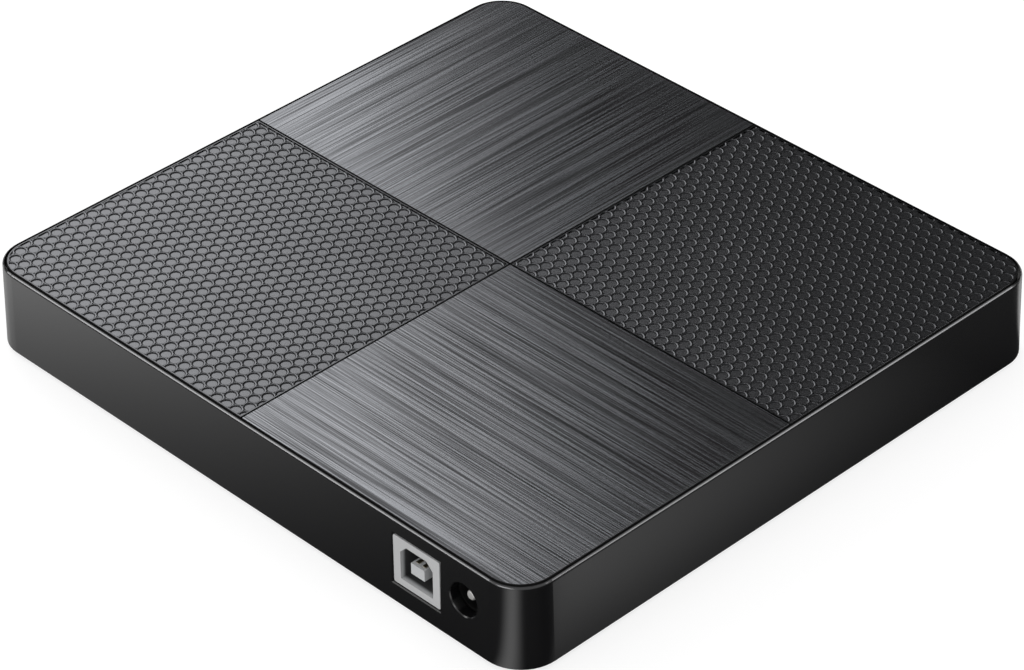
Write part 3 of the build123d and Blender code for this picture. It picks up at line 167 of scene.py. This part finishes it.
# The pool beside the drive in the same way. It also ends at a slanting line.
beside_lines, side_run, side_rise = (-0.066, -0.0745), (-0.06, 0.039), (-0.072, -0.096)
side_end, side_slant, slant_end = (-0.101, -0.113), 0.969, (0.1352, 0.1388)
side_levels, side_near_share = (0.05, 0.52), 0.25
# The wedges of light at the near corner and at the front one: azimuth and spread in degrees.
corner_x, corner_y = -0.0664, 0.0628
near_azimuth, near_spread = 116.0, 27.0
front_azimuth, front_spread, front_gain = -94.0, 30.0, 1.6

half_floor = floor_size / 2
floor_mesh = bpy.data.meshes.new("studio_floor")
floor_mesh.from_pydata([(-half_floor, -half_floor, -floor_drop), (half_floor, -half_floor, -floor_drop),
                        (half_floor, half_floor, -floor_drop), (-half_floor, half_floor, -floor_drop)],
                       [], [(0, 1, 2, 3)])
floor = bpy.data.objects.new("studio_floor", floor_mesh)
bpy.context.scene.collection.objects.link(floor)
floor_finish = Finish(bpy.data.materials.new("studio_floor"))
floor_mirrored = ray_is(floor_finish, "Glossy")
floor_seen = ray_is(floor_finish, "Camera") + ray_is(floor_finish, "Transmission")
floor_x, floor_y = floor_finish.place("XY")
behind = fade(floor_finish, floor_y, *behind_lines, 0.0, 1.0)
beside = fade(floor_finish, floor_x, *beside_lines, 0.0, 1.0)
along_rear = ramp(floor_finish, floor_x, *rear_run)
rear_light = ((along_rear * along_rear * rear_gain + rear_least)
              * fade(floor_finish, floor_y, *rear_rise, rear_near_share, 1.0)
              * fade(floor_finish, floor_y, *rear_end, 1.0, 0.0))
side_light = (ramp(floor_finish, floor_y, *side_run, *side_levels)
              * fade(floor_finish, floor_x, *side_rise, side_near_share, 1.0)
              * fade(floor_finish, floor_x, *side_end, 1.0, 0.0)
              * fade(floor_finish, floor_y - floor_x * side_slant, *slant_end, 1.0, 0.0))
near_light = wedge(floor_finish, floor_x, floor_y, (corner_x, corner_y), near_azimuth, near_spread)
front_light = wedge(floor_finish, floor_x, floor_y, (corner_x, -corner_y), front_azimuth, front_spread)
floor_pools = behind * (rear_light + near_light) + (1 - behind) * (
    beside * (side_light + front_light * front_gain) + (1 - beside) * mirrored_level)
plain_glow = (floor_seen * (1 - unseen_glow_share) + unseen_glow_share) * (1 - floor_mirrored) * floor_glow
floor_light = floor_finish.node("AddShader", {}, {
    0: floor_finish.node("BsdfDiffuse", {}, {
        "Color": floor_finish.mix(floor_mirrored, floor_colour, mirrored_colour)}),
    1: floor_finish.node("Emission", {}, {
        "Color": floor_finish.grey(plain_glow + floor_mirrored * floor_pools)})})
floor_finish.node("OutputMaterial", {}, {"Surface": floor_finish.node("MixShader", {}, {
    0: floor_finish.node("NewGeometry", {}, {}, "Backfacing"), 1: floor_light,
    2: floor_finish.node("BsdfTransparent", {}, {})})})
floor_mesh.materials.append(floor_finish.owner)

# The backdrop as the drive mirrors it: dim, a little lighter upwards, and lighter to the rear left.
ambient, mirrored_low, mirrored_high, mirrored_aside = 0.7, 0.03, 0.06, 0.2
backdrop_heights, aside_x, aside_y, aside_lines = (0.1, 0.6), 0.717, 0.697, (0.35, -0.25)
world = Finish(bpy.data.worlds.new("studio"))
world_x, world_y, height = world.place("XYZ", "Generated")
backdrop = (fade(world, height, *backdrop_heights, mirrored_low, mirrored_high)
            + fade(world, world_x * aside_x - world_y * aside_y, *aside_lines, 0.0, mirrored_aside))
world_seen, world_mirrored = ray_is(world, "Camera"), ray_is(world, "Glossy")
world_level = world_seen + (1 - world_seen) * (world_mirrored * backdrop + (1 - world_mirrored) * ambient)
world.node("OutputWorld", {}, {"Surface": world.node("Background", {}, {"Color": world.grey(world_level)})})
bpy.context.scene.world = world.owner


def soft_box(name, azimuth, elevation, away, width, tall, radiance):
    """A rectangular lamp that looks at the drive from that direction. Its power is radiance x pi x area."""
    data = bpy.data.lights.new(name, "AREA")
    data.shape, data.size, data.size_y = "RECTANGLE", width, tall
    data.energy = radiance * math.pi * width * tall
    lamp = bpy.data.objects.new(name, data)
    towards = Vector((math.cos(math.radians(azimuth)) * math.cos(math.radians(elevation)),
                      math.sin(math.radians(azimuth)) * math.cos(math.radians(elevation)),
                      math.sin(math.radians(elevation))))
    lamp_turn = towards.to_track_quat("Z", "Y").to_matrix().to_4x4()
    lamp.matrix_world = Matrix.Translation(towards * away) @ lamp_turn
    bpy.context.scene.collection.objects.link(lamp)


soft_box("lamp_behind", azimuth=-17.2, elevation=34, away=1.5, width=1.1, tall=0.9, radiance=1.9)
soft_box("lamp_above", azimuth=-20, elevation=84, away=1.3, width=0.5, tall=0.5, radiance=1.2)
soft_box("lamp_left", azimuth=49, elevation=19, away=1.0, width=0.44, tall=0.4, radiance=2.5)
soft_box("lamp_right", azimuth=-141, elevation=19, away=1.0, width=0.36, tall=0.38, radiance=2.0)
soft_box("lamp_left_high", azimuth=38, elevation=41, away=1.0, width=0.4, tall=0.34, radiance=0.75)
soft_box("lamp_right_high", azimuth=-128, elevation=41, away=1.0, width=0.4, tall=0.34, radiance=0.65)
soft_box("lamp_fill", azimuth=100, elevation=17, away=1.0, width=0.6, tall=0.4, radiance=1.7)


# Case: the upper shell and the cover below it, moulded in black plastic, with smooth walls and a rougher
# underside. The shell's rounded top edge is its own geometry. The finish paints the upper part of that
# edge, outside the plate's pocket, as grey metal: a painted sheen that stands in for the highlight on the
# black edge. It also adds the slow drift and the fine waviness of a moulding.
def grain(finish, size, detail=2.0):
    """Noise between 0 and 1. Its patches are about as long as size, one length or one for each axis."""
    place = finish.node("TexCoord", {}, {}, "Object")
    lengths = size if isinstance(size, tuple) else (size, size, size)
    scaled = finish.node("VectorMath", {"operation": "DIVIDE"}, {0: place, 1: lengths})
    return finish.node("TexNoise", {}, {"Vector": scaled, "Scale": 1.0, "Detail": detail}, "Fac")


def surface(finish, sockets, height=None, depth=0.0):
    """The Principled shader, with a bump of that depth where a height is given. Returns the material."""
    if height is not None:
        sockets["Normal"] = finish.node("Bump", {}, {"Height": height, "Strength": 1.0, "Distance": depth})
    shader = finish.node("BsdfPrincipled", {}, sockets)
    finish.node("OutputMaterial", {}, {"Surface": shader})
    return finish.owner


def shade(colour, factor=1.0):
    """A colour for a socket: its three levels times a factor."""
    return (*(level * factor for level in colour), 1)


def moulded(name, colour, roughness, grain_size=0.0003, depth=0.00001, cloud=0.03, gloss=0.5, flow=0.15):
    """Moulded plastic: a fine grain in the surface, and a slow drift of its colour and its roughness."""
    finish = Finish(bpy.data.materials.new(name))
    drift = grain(finish, cloud)
    fine = grain(finish, grain_size, 3.0)
    return surface(finish, {
        "Base Color": finish.mix(drift, shade(colour, 1 - flow), shade(colour, 1 + flow)),
        "Roughness": roughness * (1 - flow) + (drift + fine) * (roughness * flow),
        "Specular IOR Level": gloss}, fine, depth)


def dress(material, *names):
    """Gives CAD nodes their finish."""
    for name in names:
        mesh = nodes[name].data
        for place in range(len(mesh.materials)):
            mesh.materials[place] = material


case_black, case_gloss, case_roughness, case_flow = (0.005, 0.005, 0.0055), 0.9, 0.22, 0.15
case_cloud, ripple_size, ripple_depth = 0.05, 0.0012, 0.000001
# The rim's grey metal is a painted sheen: it stands in for the highlight on the black plastic edge.
rim_sheen_grey, rim_height, rim_skin = (0.2, 0.2, 0.204), 0.00043, 0.00002
plate_half_x, plate_half_y, plate_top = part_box("top_plate")[1]
plate_gap, pocket_corner, pocket_clear = 0.00045, 0.007592, 0.0001
case_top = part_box("housing")[1][2]
case_finish = Finish(bpy.data.materials.new("case_plastic"))
case_x, case_y, case_z = case_finish.place("XYZ")
past_x, past_y = (case_finish.node("Math", {"operation": "MAXIMUM"}, {
    0: abs(value) - (half + plate_gap - pocket_corner), 1: 0.0})
    for value, half in ((case_x, plate_half_x), (case_y, plate_half_y)))
outside_pocket = case_finish.node("Math", {"operation": "SQRT"}, {
    0: past_x * past_x + past_y * past_y}) > pocket_corner + pocket_clear
# Where the painted sheen goes: the top of the rounded edge, outside the plate's pocket.
on_rim_sheen = (case_z > case_top - rim_height) * (case_z < case_top - rim_skin) * outside_pocket
case_drift, case_ripple = grain(case_finish, case_cloud), grain(case_finish, ripple_size, 3.0)
case_tone = case_finish.mix(case_drift, shade(case_black, 1 - case_flow), shade(case_black, 1 + case_flow))
case_haze = case_roughness * (1 - case_flow) + (case_drift + case_ripple) * (case_roughness * case_flow)
dress(surface(case_finish, {
    "Base Color": case_finish.mix(on_rim_sheen, case_tone, shade(rim_sheen_grey)), "Metallic": on_rim_sheen,
    "Roughness": case_haze, "Specular IOR Level": case_gloss}, case_ripple, ripple_depth), "housing")
dress(moulded("base_plastic", (0.017, 0.017, 0.018), 0.55, grain_size=0.0004, depth=0.00002), "base_cover")

# Top plate: dark anodised sheet let into the shell. Two of its four fields are brushed, one along the width
# and one along the depth, and a fine groove parts them. All of the plate below its face is painted black and
# matt, a painted shade for the grooves and the plate's edge.
groove_skin, face_roughness, brush_depth = 0.00002, 0.22, 0.000018
streak_size, scratch_size, hair_size = (0.16, 0.0016), (0.07, 0.00036), (0.03, 0.0002)
streak_share, scratch_share, hair_share = 0.1, 0.52, 0.38
mark_least, mark_most = 0.41, 0.57
rear_greys = (0.05, 0.051, 0.054), (0.252, 0.258, 0.274)
front_greys = (0.065, 0.067, 0.071), (0.29, 0.297, 0.316)
# The groove black is painted shade: the grooves and the edge are of the same sheet and are dark only in
# shade.
margin_grey, groove_shade_black = (0.12, 0.122, 0.128), (0.004, 0.004, 0.004)


def brushing(finish, along):
    """Brush marks that run along one axis: broad faint streaks, long fine lines and hair lines."""
    return [grain(finish, (long, short, 1.0) if along == "x" else (short, long, 1.0), 1.0)
            for long, short in (streak_size, scratch_size, hair_size)]


plate_finish = Finish(bpy.data.materials.new("top_plate"))
plate_x, plate_y, plate_z = plate_finish.place("XYZ")
rear_half, scaled_fields = plate_y > 0.0, plate_x * plate_y > 0.0
streaks, scratches, hairs = (along_y + (along_x - along_y) * rear_half for along_x, along_y in
                             zip(brushing(plate_finish, "x"), brushing(plate_finish, "y")))
marks = streaks * streak_share + scratches * scratch_share + hairs * hair_share
contrast = ramp(plate_finish, marks, mark_least, mark_most)
front_colour, rear_colour = (plate_finish.mix(contrast, shade(dark), shade(light))
                             for dark, light in (front_greys, rear_greys))
brushed_colour = plate_finish.mix(rear_half, front_colour, rear_colour)
face_colour = plate_finish.mix(scaled_fields, brushed_colour, shade(margin_grey))
# Below its face the plate is painted black and matt, painted shade in the grooves and on the edge.
on_face = plate_z > plate_top - groove_skin
dress(surface(plate_finish, {
    "Base Color": plate_finish.mix(on_face, shade(groove_shade_black), face_colour),
    "Metallic": on_face, "Roughness": 1.0 - on_face * (1 - face_roughness)}, marks, brush_depth),
    "top_plate")

# Scale fields: the plate's other two quarters carry round dimples on a hexagonal grid, pressed in so that
# thin ridges stand between them. Each field lies in its shallow pocket of the plate. The dimples' steep
# walls are painted darker than their floors and ridges, a painted shade.
scale_pitch, scale_sides = 0.00265, 18
scale_row = scale_pitch * math.sqrt(3) / 2
dimple_radius, dimple_floor_radius, dimple_depth = 0.00116, 0.00098, 0.00021
ridge_height, lip_width, lip_drop = 0.00004, 0.00005, 0.00003
field_depth, field_edge, field_clear = 0.00035, 0.00035, 0.00002
field_inner = 0.000425 + field_clear
field_outer_x = plate_half_x - field_edge - field_clear
field_outer_y = plate_half_y - field_edge - field_clear
field_corner = 0.006792 - field_clear
joined_within = 0.000001


def scale_cell():
    """One cell as rings of points about its centre. Outwards: the dimple's floor, the top of its wall, three
    steps up its round ridge, and the cell's hexagon, whose radius at angle a is pitch / 2 / cos(a to the
    nearest middle of a side). Returns points and the quads between the rings; the floor is one face."""
    angle = np.arange(scale_sides) * 2 * np.pi / scale_sides
    from_side = (angle + np.pi / 6) % (np.pi / 3) - np.pi / 6
    hexagon = scale_pitch / 2 / np.cos(from_side)
    rings = [(np.full(scale_sides, dimple_floor_radius), -dimple_depth),
             (np.full(scale_sides, dimple_radius - lip_width), -ridge_height - lip_drop),
             (np.full(scale_sides, dimple_radius), -ridge_height),
             (dimple_radius * 0.5 + hexagon * 0.5, -ridge_height / 4),
             (hexagon, 0.0)]
    points = np.concatenate([np.stack([r * np.cos(angle), r * np.sin(angle), np.full(scale_sides, z)], 1)
                             for r, z in rings])
    side = np.arange(scale_sides)
    ahead = (side + 1) % scale_sides
    band = np.stack([side, side + scale_sides, ahead + scale_sides, ahead], 1)
    quads = np.concatenate([band + ring * scale_sides for ring in range(len(rings) - 1)])
    return points, quads


def scale_field(name, side_x, side_y):
    """A quarter of the plate in scales: the cell repeated over the grid, and each point outside the field
    moved to the nearest point of its outline, which cuts the outer cells. The sheet's edge is then carried
    down to the pocket and closed below."""
    points, quads = scale_cell()
    columns = int(field_outer_x / scale_pitch) + 2
    rows = int(field_outer_y / scale_row) + 2
    column, row = np.meshgrid(np.arange(-1, columns), np.arange(-1, rows))
    centres = np.stack([(column + row % 2 / 2) * scale_pitch, row * scale_row, np.zeros(column.shape)], -1)
    centres = centres.reshape(-1, 3)
    placed = (centres[:, None, :] + points[None]).reshape(-1, 3)
    placed[:, 0] = np.clip(placed[:, 0], field_inner, field_outer_x)
    placed[:, 1] = np.clip(placed[:, 1], field_inner, field_outer_y)
    from_arc = placed[:, :2] - (field_outer_x - field_corner, field_outer_y - field_corner)
    reach = np.hypot(from_arc[:, 0], from_arc[:, 1])
    outside = (from_arc > 0).all(1) & (reach > field_corner)
    placed[outside, :2] -= from_arc[outside] * (1 - field_corner / reach[outside])[:, None]
    placed *= (side_x, side_y, 1)
    placed[:, 2] += plate_top
    steps = np.arange(len(centres)) * len(points)
    faces = (steps[:, None, None] + quads[None]).reshape(-1, 4)
    floors = steps[:, None] + np.arange(scale_sides)[None]
    mesh = bpy.data.meshes.new(name)
    mesh.from_pydata(placed.tolist(), [], faces.tolist() + floors.tolist())
    work = bmesh.new()
    work.from_mesh(mesh)
    bmesh.ops.remove_doubles(work, verts=work.verts, dist=joined_within)
    bmesh.ops.dissolve_degenerate(work, edges=work.edges, dist=joined_within)
    edge = [line for line in work.edges if line.is_boundary]
    carried = bmesh.ops.extrude_edge_only(work, edges=edge)["geom"]
    bmesh.ops.scale(work, vec=(1, 1, 0), space=Matrix.Translation((0, 0, field_depth - plate_top)),
                    verts=[part for part in carried if isinstance(part, bmesh.types.BMVert)])
    bmesh.ops.holes_fill(work, edges=[line for line in work.edges if line.is_boundary], sides=0)
    bmesh.ops.recalc_face_normals(work, faces=work.faces)
    work.to_mesh(mesh)
    work.free()
    piece = bpy.data.objects.new(name, mesh)
    bpy.context.scene.collection.objects.link(piece)
    mesh.materials.append(scale_material)
    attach(piece, "case")


flat_greys = (0.135, 0.137, 0.145), (0.165, 0.168, 0.177)
# The walls' greys are about half the flats': painted shade on the dimples' steep walls.
wall_shade_greys = (0.066, 0.066, 0.069), (0.08, 0.081, 0.085)
wall_roughness, flat_roughness, grit_roughness = 0.75, 0.23, 0.06
drift_size, grit_size, grit_depth = 0.02, 0.00012, 0.000003
floor_skin, ridge_reach = 0.00001, 1.1
scale_finish = Finish(bpy.data.materials.new("scales"))
scale_drift, scale_grit = grain(scale_finish, drift_size), grain(scale_finish, grit_size)
scale_z = scale_finish.place("Z")[0]
on_floor = scale_z < plate_top - dimple_depth + floor_skin
on_ridge = scale_z > plate_top - ridge_height * ridge_reach
on_flat = on_floor + on_ridge
# Walls get the darker greys of painted shade, and floors and ridges get the flat greys.
scale_flat, scale_wall_shade = (scale_finish.mix(scale_drift, shade(dark), shade(light))
                          for dark, light in (flat_greys, wall_shade_greys))
scale_material = surface(scale_finish, {
    "Base Color": scale_finish.mix(on_flat, scale_wall_shade, scale_flat), "Metallic": 1.0,
    "Roughness": wall_roughness - on_flat * (wall_roughness - flat_roughness) + scale_grit * grit_roughness},
    scale_grit, grit_depth)
scale_field("scales_rear_right", 1, 1)
scale_field("scales_front_left", -1, -1)

# Feet and screws: soft rubber discs stuck into their seats, with blackened steel screws that hold the case.
# The boards' and the lid's screws are zinc plated. The turntable's ring is of the same rubber as the feet.
dress(moulded("rubber", (0.035, 0.035, 0.036), 0.85, grain_size=0.0005, depth=0.00004, gloss=0.25),
      "rubber_feet", "turntable_ring")


def steel(name, colour, roughness, marks=0.0006, depth=0.000004, spread=0.25, metal=1.0):
    """Metal with marks of that size: round ones for a cast or plated part, long ones for rolled sheet."""
    finish = Finish(bpy.data.materials.new(name))
    mark = grain(finish, marks)
    cloud = grain(finish, 0.012)
    return surface(finish, {
        "Base Color": finish.mix(cloud, shade(colour, 1 - spread), shade(colour, 1 + spread / 3)),
        "Metallic": metal, "Roughness": roughness * (1 - spread) + (mark + cloud) * (roughness * spread)},
        mark, depth)


dress(steel("black_screws", (0.09, 0.09, 0.095), 0.38), "case_screws")
dress(steel("zinc_screws", (0.55, 0.56, 0.58), 0.3), "board_screws", "lid_screws")

# Sockets at the back: a square data socket with a folded nickel-plated shell and a pale moulded insert,
# with painted shade in the well round its tongue, and a round power socket of black plastic with a bright
# pin.
dress(steel("plated_shell", (0.68, 0.685, 0.69), 0.5, marks=0.0003, spread=0.1, metal=0.25),
      "data_socket_shell")
# The well's dark is painted shade: the insert grows darker deeper in the well, except on the tongue.
insert_pale, insert_light, well_shade_dark = (0.52, 0.53, 0.54), (0.6, 0.61, 0.62), (0.05, 0.05, 0.052)
insert_roughness, insert_spread, insert_grain_size, insert_grain_depth = 0.38, 0.08, 0.0002, 0.000004
tongue_half_x, tongue_half_z, tongue_lift = 0.0018, 0.00125, -0.0003
well_depth, well_brim = 0.0011, 0.0001
insert_low, insert_high = (Vector(corner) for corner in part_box("data_socket_insert"))
insert_finish = Finish(bpy.data.materials.new("socket_insert"))
insert_x, insert_y, insert_z = insert_finish.place("XYZ")
# Painted shade in the well: nought at its brim, full at the well's depth.
in_well_shade = fade(insert_finish, insert_y, insert_high.y - well_brim, insert_high.y - well_depth, 0.0, 1.0)
on_tongue = ((abs(insert_x - (insert_low.x + insert_high.x) / 2) < tongue_half_x)
             * (abs(insert_z - ((insert_low.z + insert_high.z) / 2 + tongue_lift)) < tongue_half_z))
insert_grain = grain(insert_finish, insert_grain_size)
insert_tone = insert_finish.mix(insert_grain, shade(insert_pale), shade(insert_light))
dress(surface(insert_finish, {
    "Base Color": insert_finish.mix(in_well_shade * (1 - on_tongue), insert_tone, shade(well_shade_dark)),
    "Roughness": insert_roughness + insert_grain * insert_spread}, insert_grain, insert_grain_depth),
    "data_socket_insert")
dress(steel("contacts", (0.6, 0.52, 0.36), 0.3), "data_contacts")
dress(moulded("socket_body", (0.007, 0.007, 0.007), 0.5), "power_socket_body")
dress(steel("pin", (0.85, 0.84, 0.82), 0.4, marks=(0.004, 0.0001, 0.0001), metal=0.5), "power_pin")

# Boards: green lacquered glass fibre with copper lines below the lacquer. Black chips, tan capacitors and
# cream connectors are soldered on, and a flat ribbon cable is plugged in.
lacquer_green, copper_green = (0.006, 0.055, 0.028), (0.03, 0.14, 0.06)
line_width, line_length, line_pitch, line_height = 0.00014, 0.0034, 0.0011, 0.00002
board_roughness, board_spread, board_grain_size, patch_size = 0.32, 0.12, 0.0006, 0.008
board_finish = Finish(bpy.data.materials.new("circuit_board"))
board_place = board_finish.node("TexCoord", {}, {}, "Object")
board_lines = board_finish.node("TexBrick", {"offset": 0.37, "squash": 1.6, "squash_frequency": 3}, {
    "Vector": board_place, "Scale": 1.0, "Mortar Size": line_width, "Brick Width": line_length,
    "Row Height": line_pitch, "Mortar Smooth": 0.2}, "Fac")
board_copper = board_lines * (grain(board_finish, patch_size, 0.0) > 0.5)
dress(surface(board_finish, {
    "Base Color": board_finish.mix(board_copper, shade(lacquer_green), shade(copper_green)),
    "Roughness": board_roughness + grain(board_finish, board_grain_size) * board_spread},
    board_copper, line_height), "bridge_board", "main_board", "tray_board")
dress(moulded("chips", (0.016, 0.016, 0.017), 0.5, grain_size=0.0002),
      "bridge_chips", "main_board_chips", "tray_board_parts")
dress(moulded("capacitors", (0.36, 0.25, 0.14), 0.45, grain_size=0.0002), "capacitors")
dress(moulded("connector", (0.62, 0.58, 0.47), 0.5), "drive_connector", "board_connector")
dress(moulded("ribbon", (0.5, 0.5, 0.48), 0.35), "ribbon_cable")

# Drive case: chassis, lid and covers pressed from zinc-coated sheet, with the faint crystals of its coating.
# The tray's rails are bright rolled strip and run in plastic guides.
zinc_dark, zinc_light = (0.36, 0.37, 0.38), (0.52, 0.53, 0.54)
zinc_roughness, zinc_spread, zinc_depth = 0.3, 0.16, 0.000006
crystals_per_metre, zinc_cloud_size, cloud_share = 220.0, 0.006, 0.5
zinc = Finish(bpy.data.materials.new("pressed_steel"))
zinc_place = zinc.node("TexCoord", {}, {}, "Object")
crystal = zinc.node("TexVoronoi", {}, {"Vector": zinc_place, "Scale": crystals_per_metre}, "Distance")
zinc_cloud = grain(zinc, zinc_cloud_size, 3.0)
dress(surface(zinc, {
    "Base Color": zinc.mix(crystal + zinc_cloud * cloud_share, shade(zinc_dark), shade(zinc_light)),
    "Metallic": 1.0, "Roughness": zinc_roughness + zinc_cloud * zinc_spread}, zinc_cloud, zinc_depth),
    "drive_chassis", "drive_lid", "tray_cover", "traverse_cover")
dress(moulded("guide_plastic", (0.55, 0.54, 0.5), 0.42), "rail_guide_left", "rail_guide_right")
dress(steel("rails", (0.5, 0.51, 0.52), 0.28, marks=(0.0003, 0.02, 0.0003)), "rail_left", "rail_right")

# Tray: moulded in black plastic with a fine matt grain, and its front strip and button match the case. The
# latch lever and the ejector's plunger are of pale plastic, and a small solenoid lets the latch go.
dress(moulded("tray_plastic", (0.018, 0.018, 0.019), 0.5, grain_size=0.00035, depth=0.00002), "disc_tray")
dress(moulded("bezel_plastic", case_black, 0.34, grain_size=0.0006, depth=0.000004), "tray_bezel")
dress(moulded("button_plastic", (0.02, 0.02, 0.021), 0.4), "eject_button")
dress(moulded("light_plastic", (0.2, 0.3, 0.22), 0.25), "light_guide")
dress(moulded("latch_plastic", (0.5, 0.48, 0.42), 0.42), "latch_lever", "eject_plunger")
dress(steel("solenoid", (0.42, 0.43, 0.44), 0.35), "latch_solenoid")

# Drive mechanism: a pressed steel frame that carries the spindle, two ground rods and the pickup with its
# lens. A lead screw on a small motor moves the pickup, and three plastic jaws in the hub hold the disc.
dress(steel("traverse_steel", (0.42, 0.43, 0.44), 0.34, marks=(0.01, 0.0004, 0.0004)), "traverse_frame")
dress(steel("rods", (0.72, 0.72, 0.73), 0.12), "guide_rods")
dress(steel("motor", (0.5, 0.5, 0.52), 0.26), "sled_motor")
dress(steel("stator", (0.55, 0.25, 0.1), 0.35), "spindle_stator")
dress(steel("screw_steel", (0.58, 0.58, 0.6), 0.22), "lead_screw")
dress(moulded("turntable", (0.02, 0.02, 0.021), 0.35), "turntable")
dress(moulded("jaws", (0.6, 0.59, 0.55), 0.4), "hub_jaw_1", "hub_jaw_2", "hub_jaw_3")
dress(steel("sled_metal", (0.34, 0.34, 0.36), 0.4, depth=0.00001), "pickup_sled")
dress(steel("pickup_sheet", (0.6, 0.6, 0.62), 0.3), "pickup_cover")
dress(steel("magnets", (0.35, 0.35, 0.37), 0.25), "focus_magnets")
dress(moulded("lens_holder", (0.012, 0.012, 0.013), 0.45), "lens_holder")
dress(moulded("lens", (0.02, 0.035, 0.085), 0.06, grain_size=0.002, depth=0.0, gloss=0.9), "objective_lens")
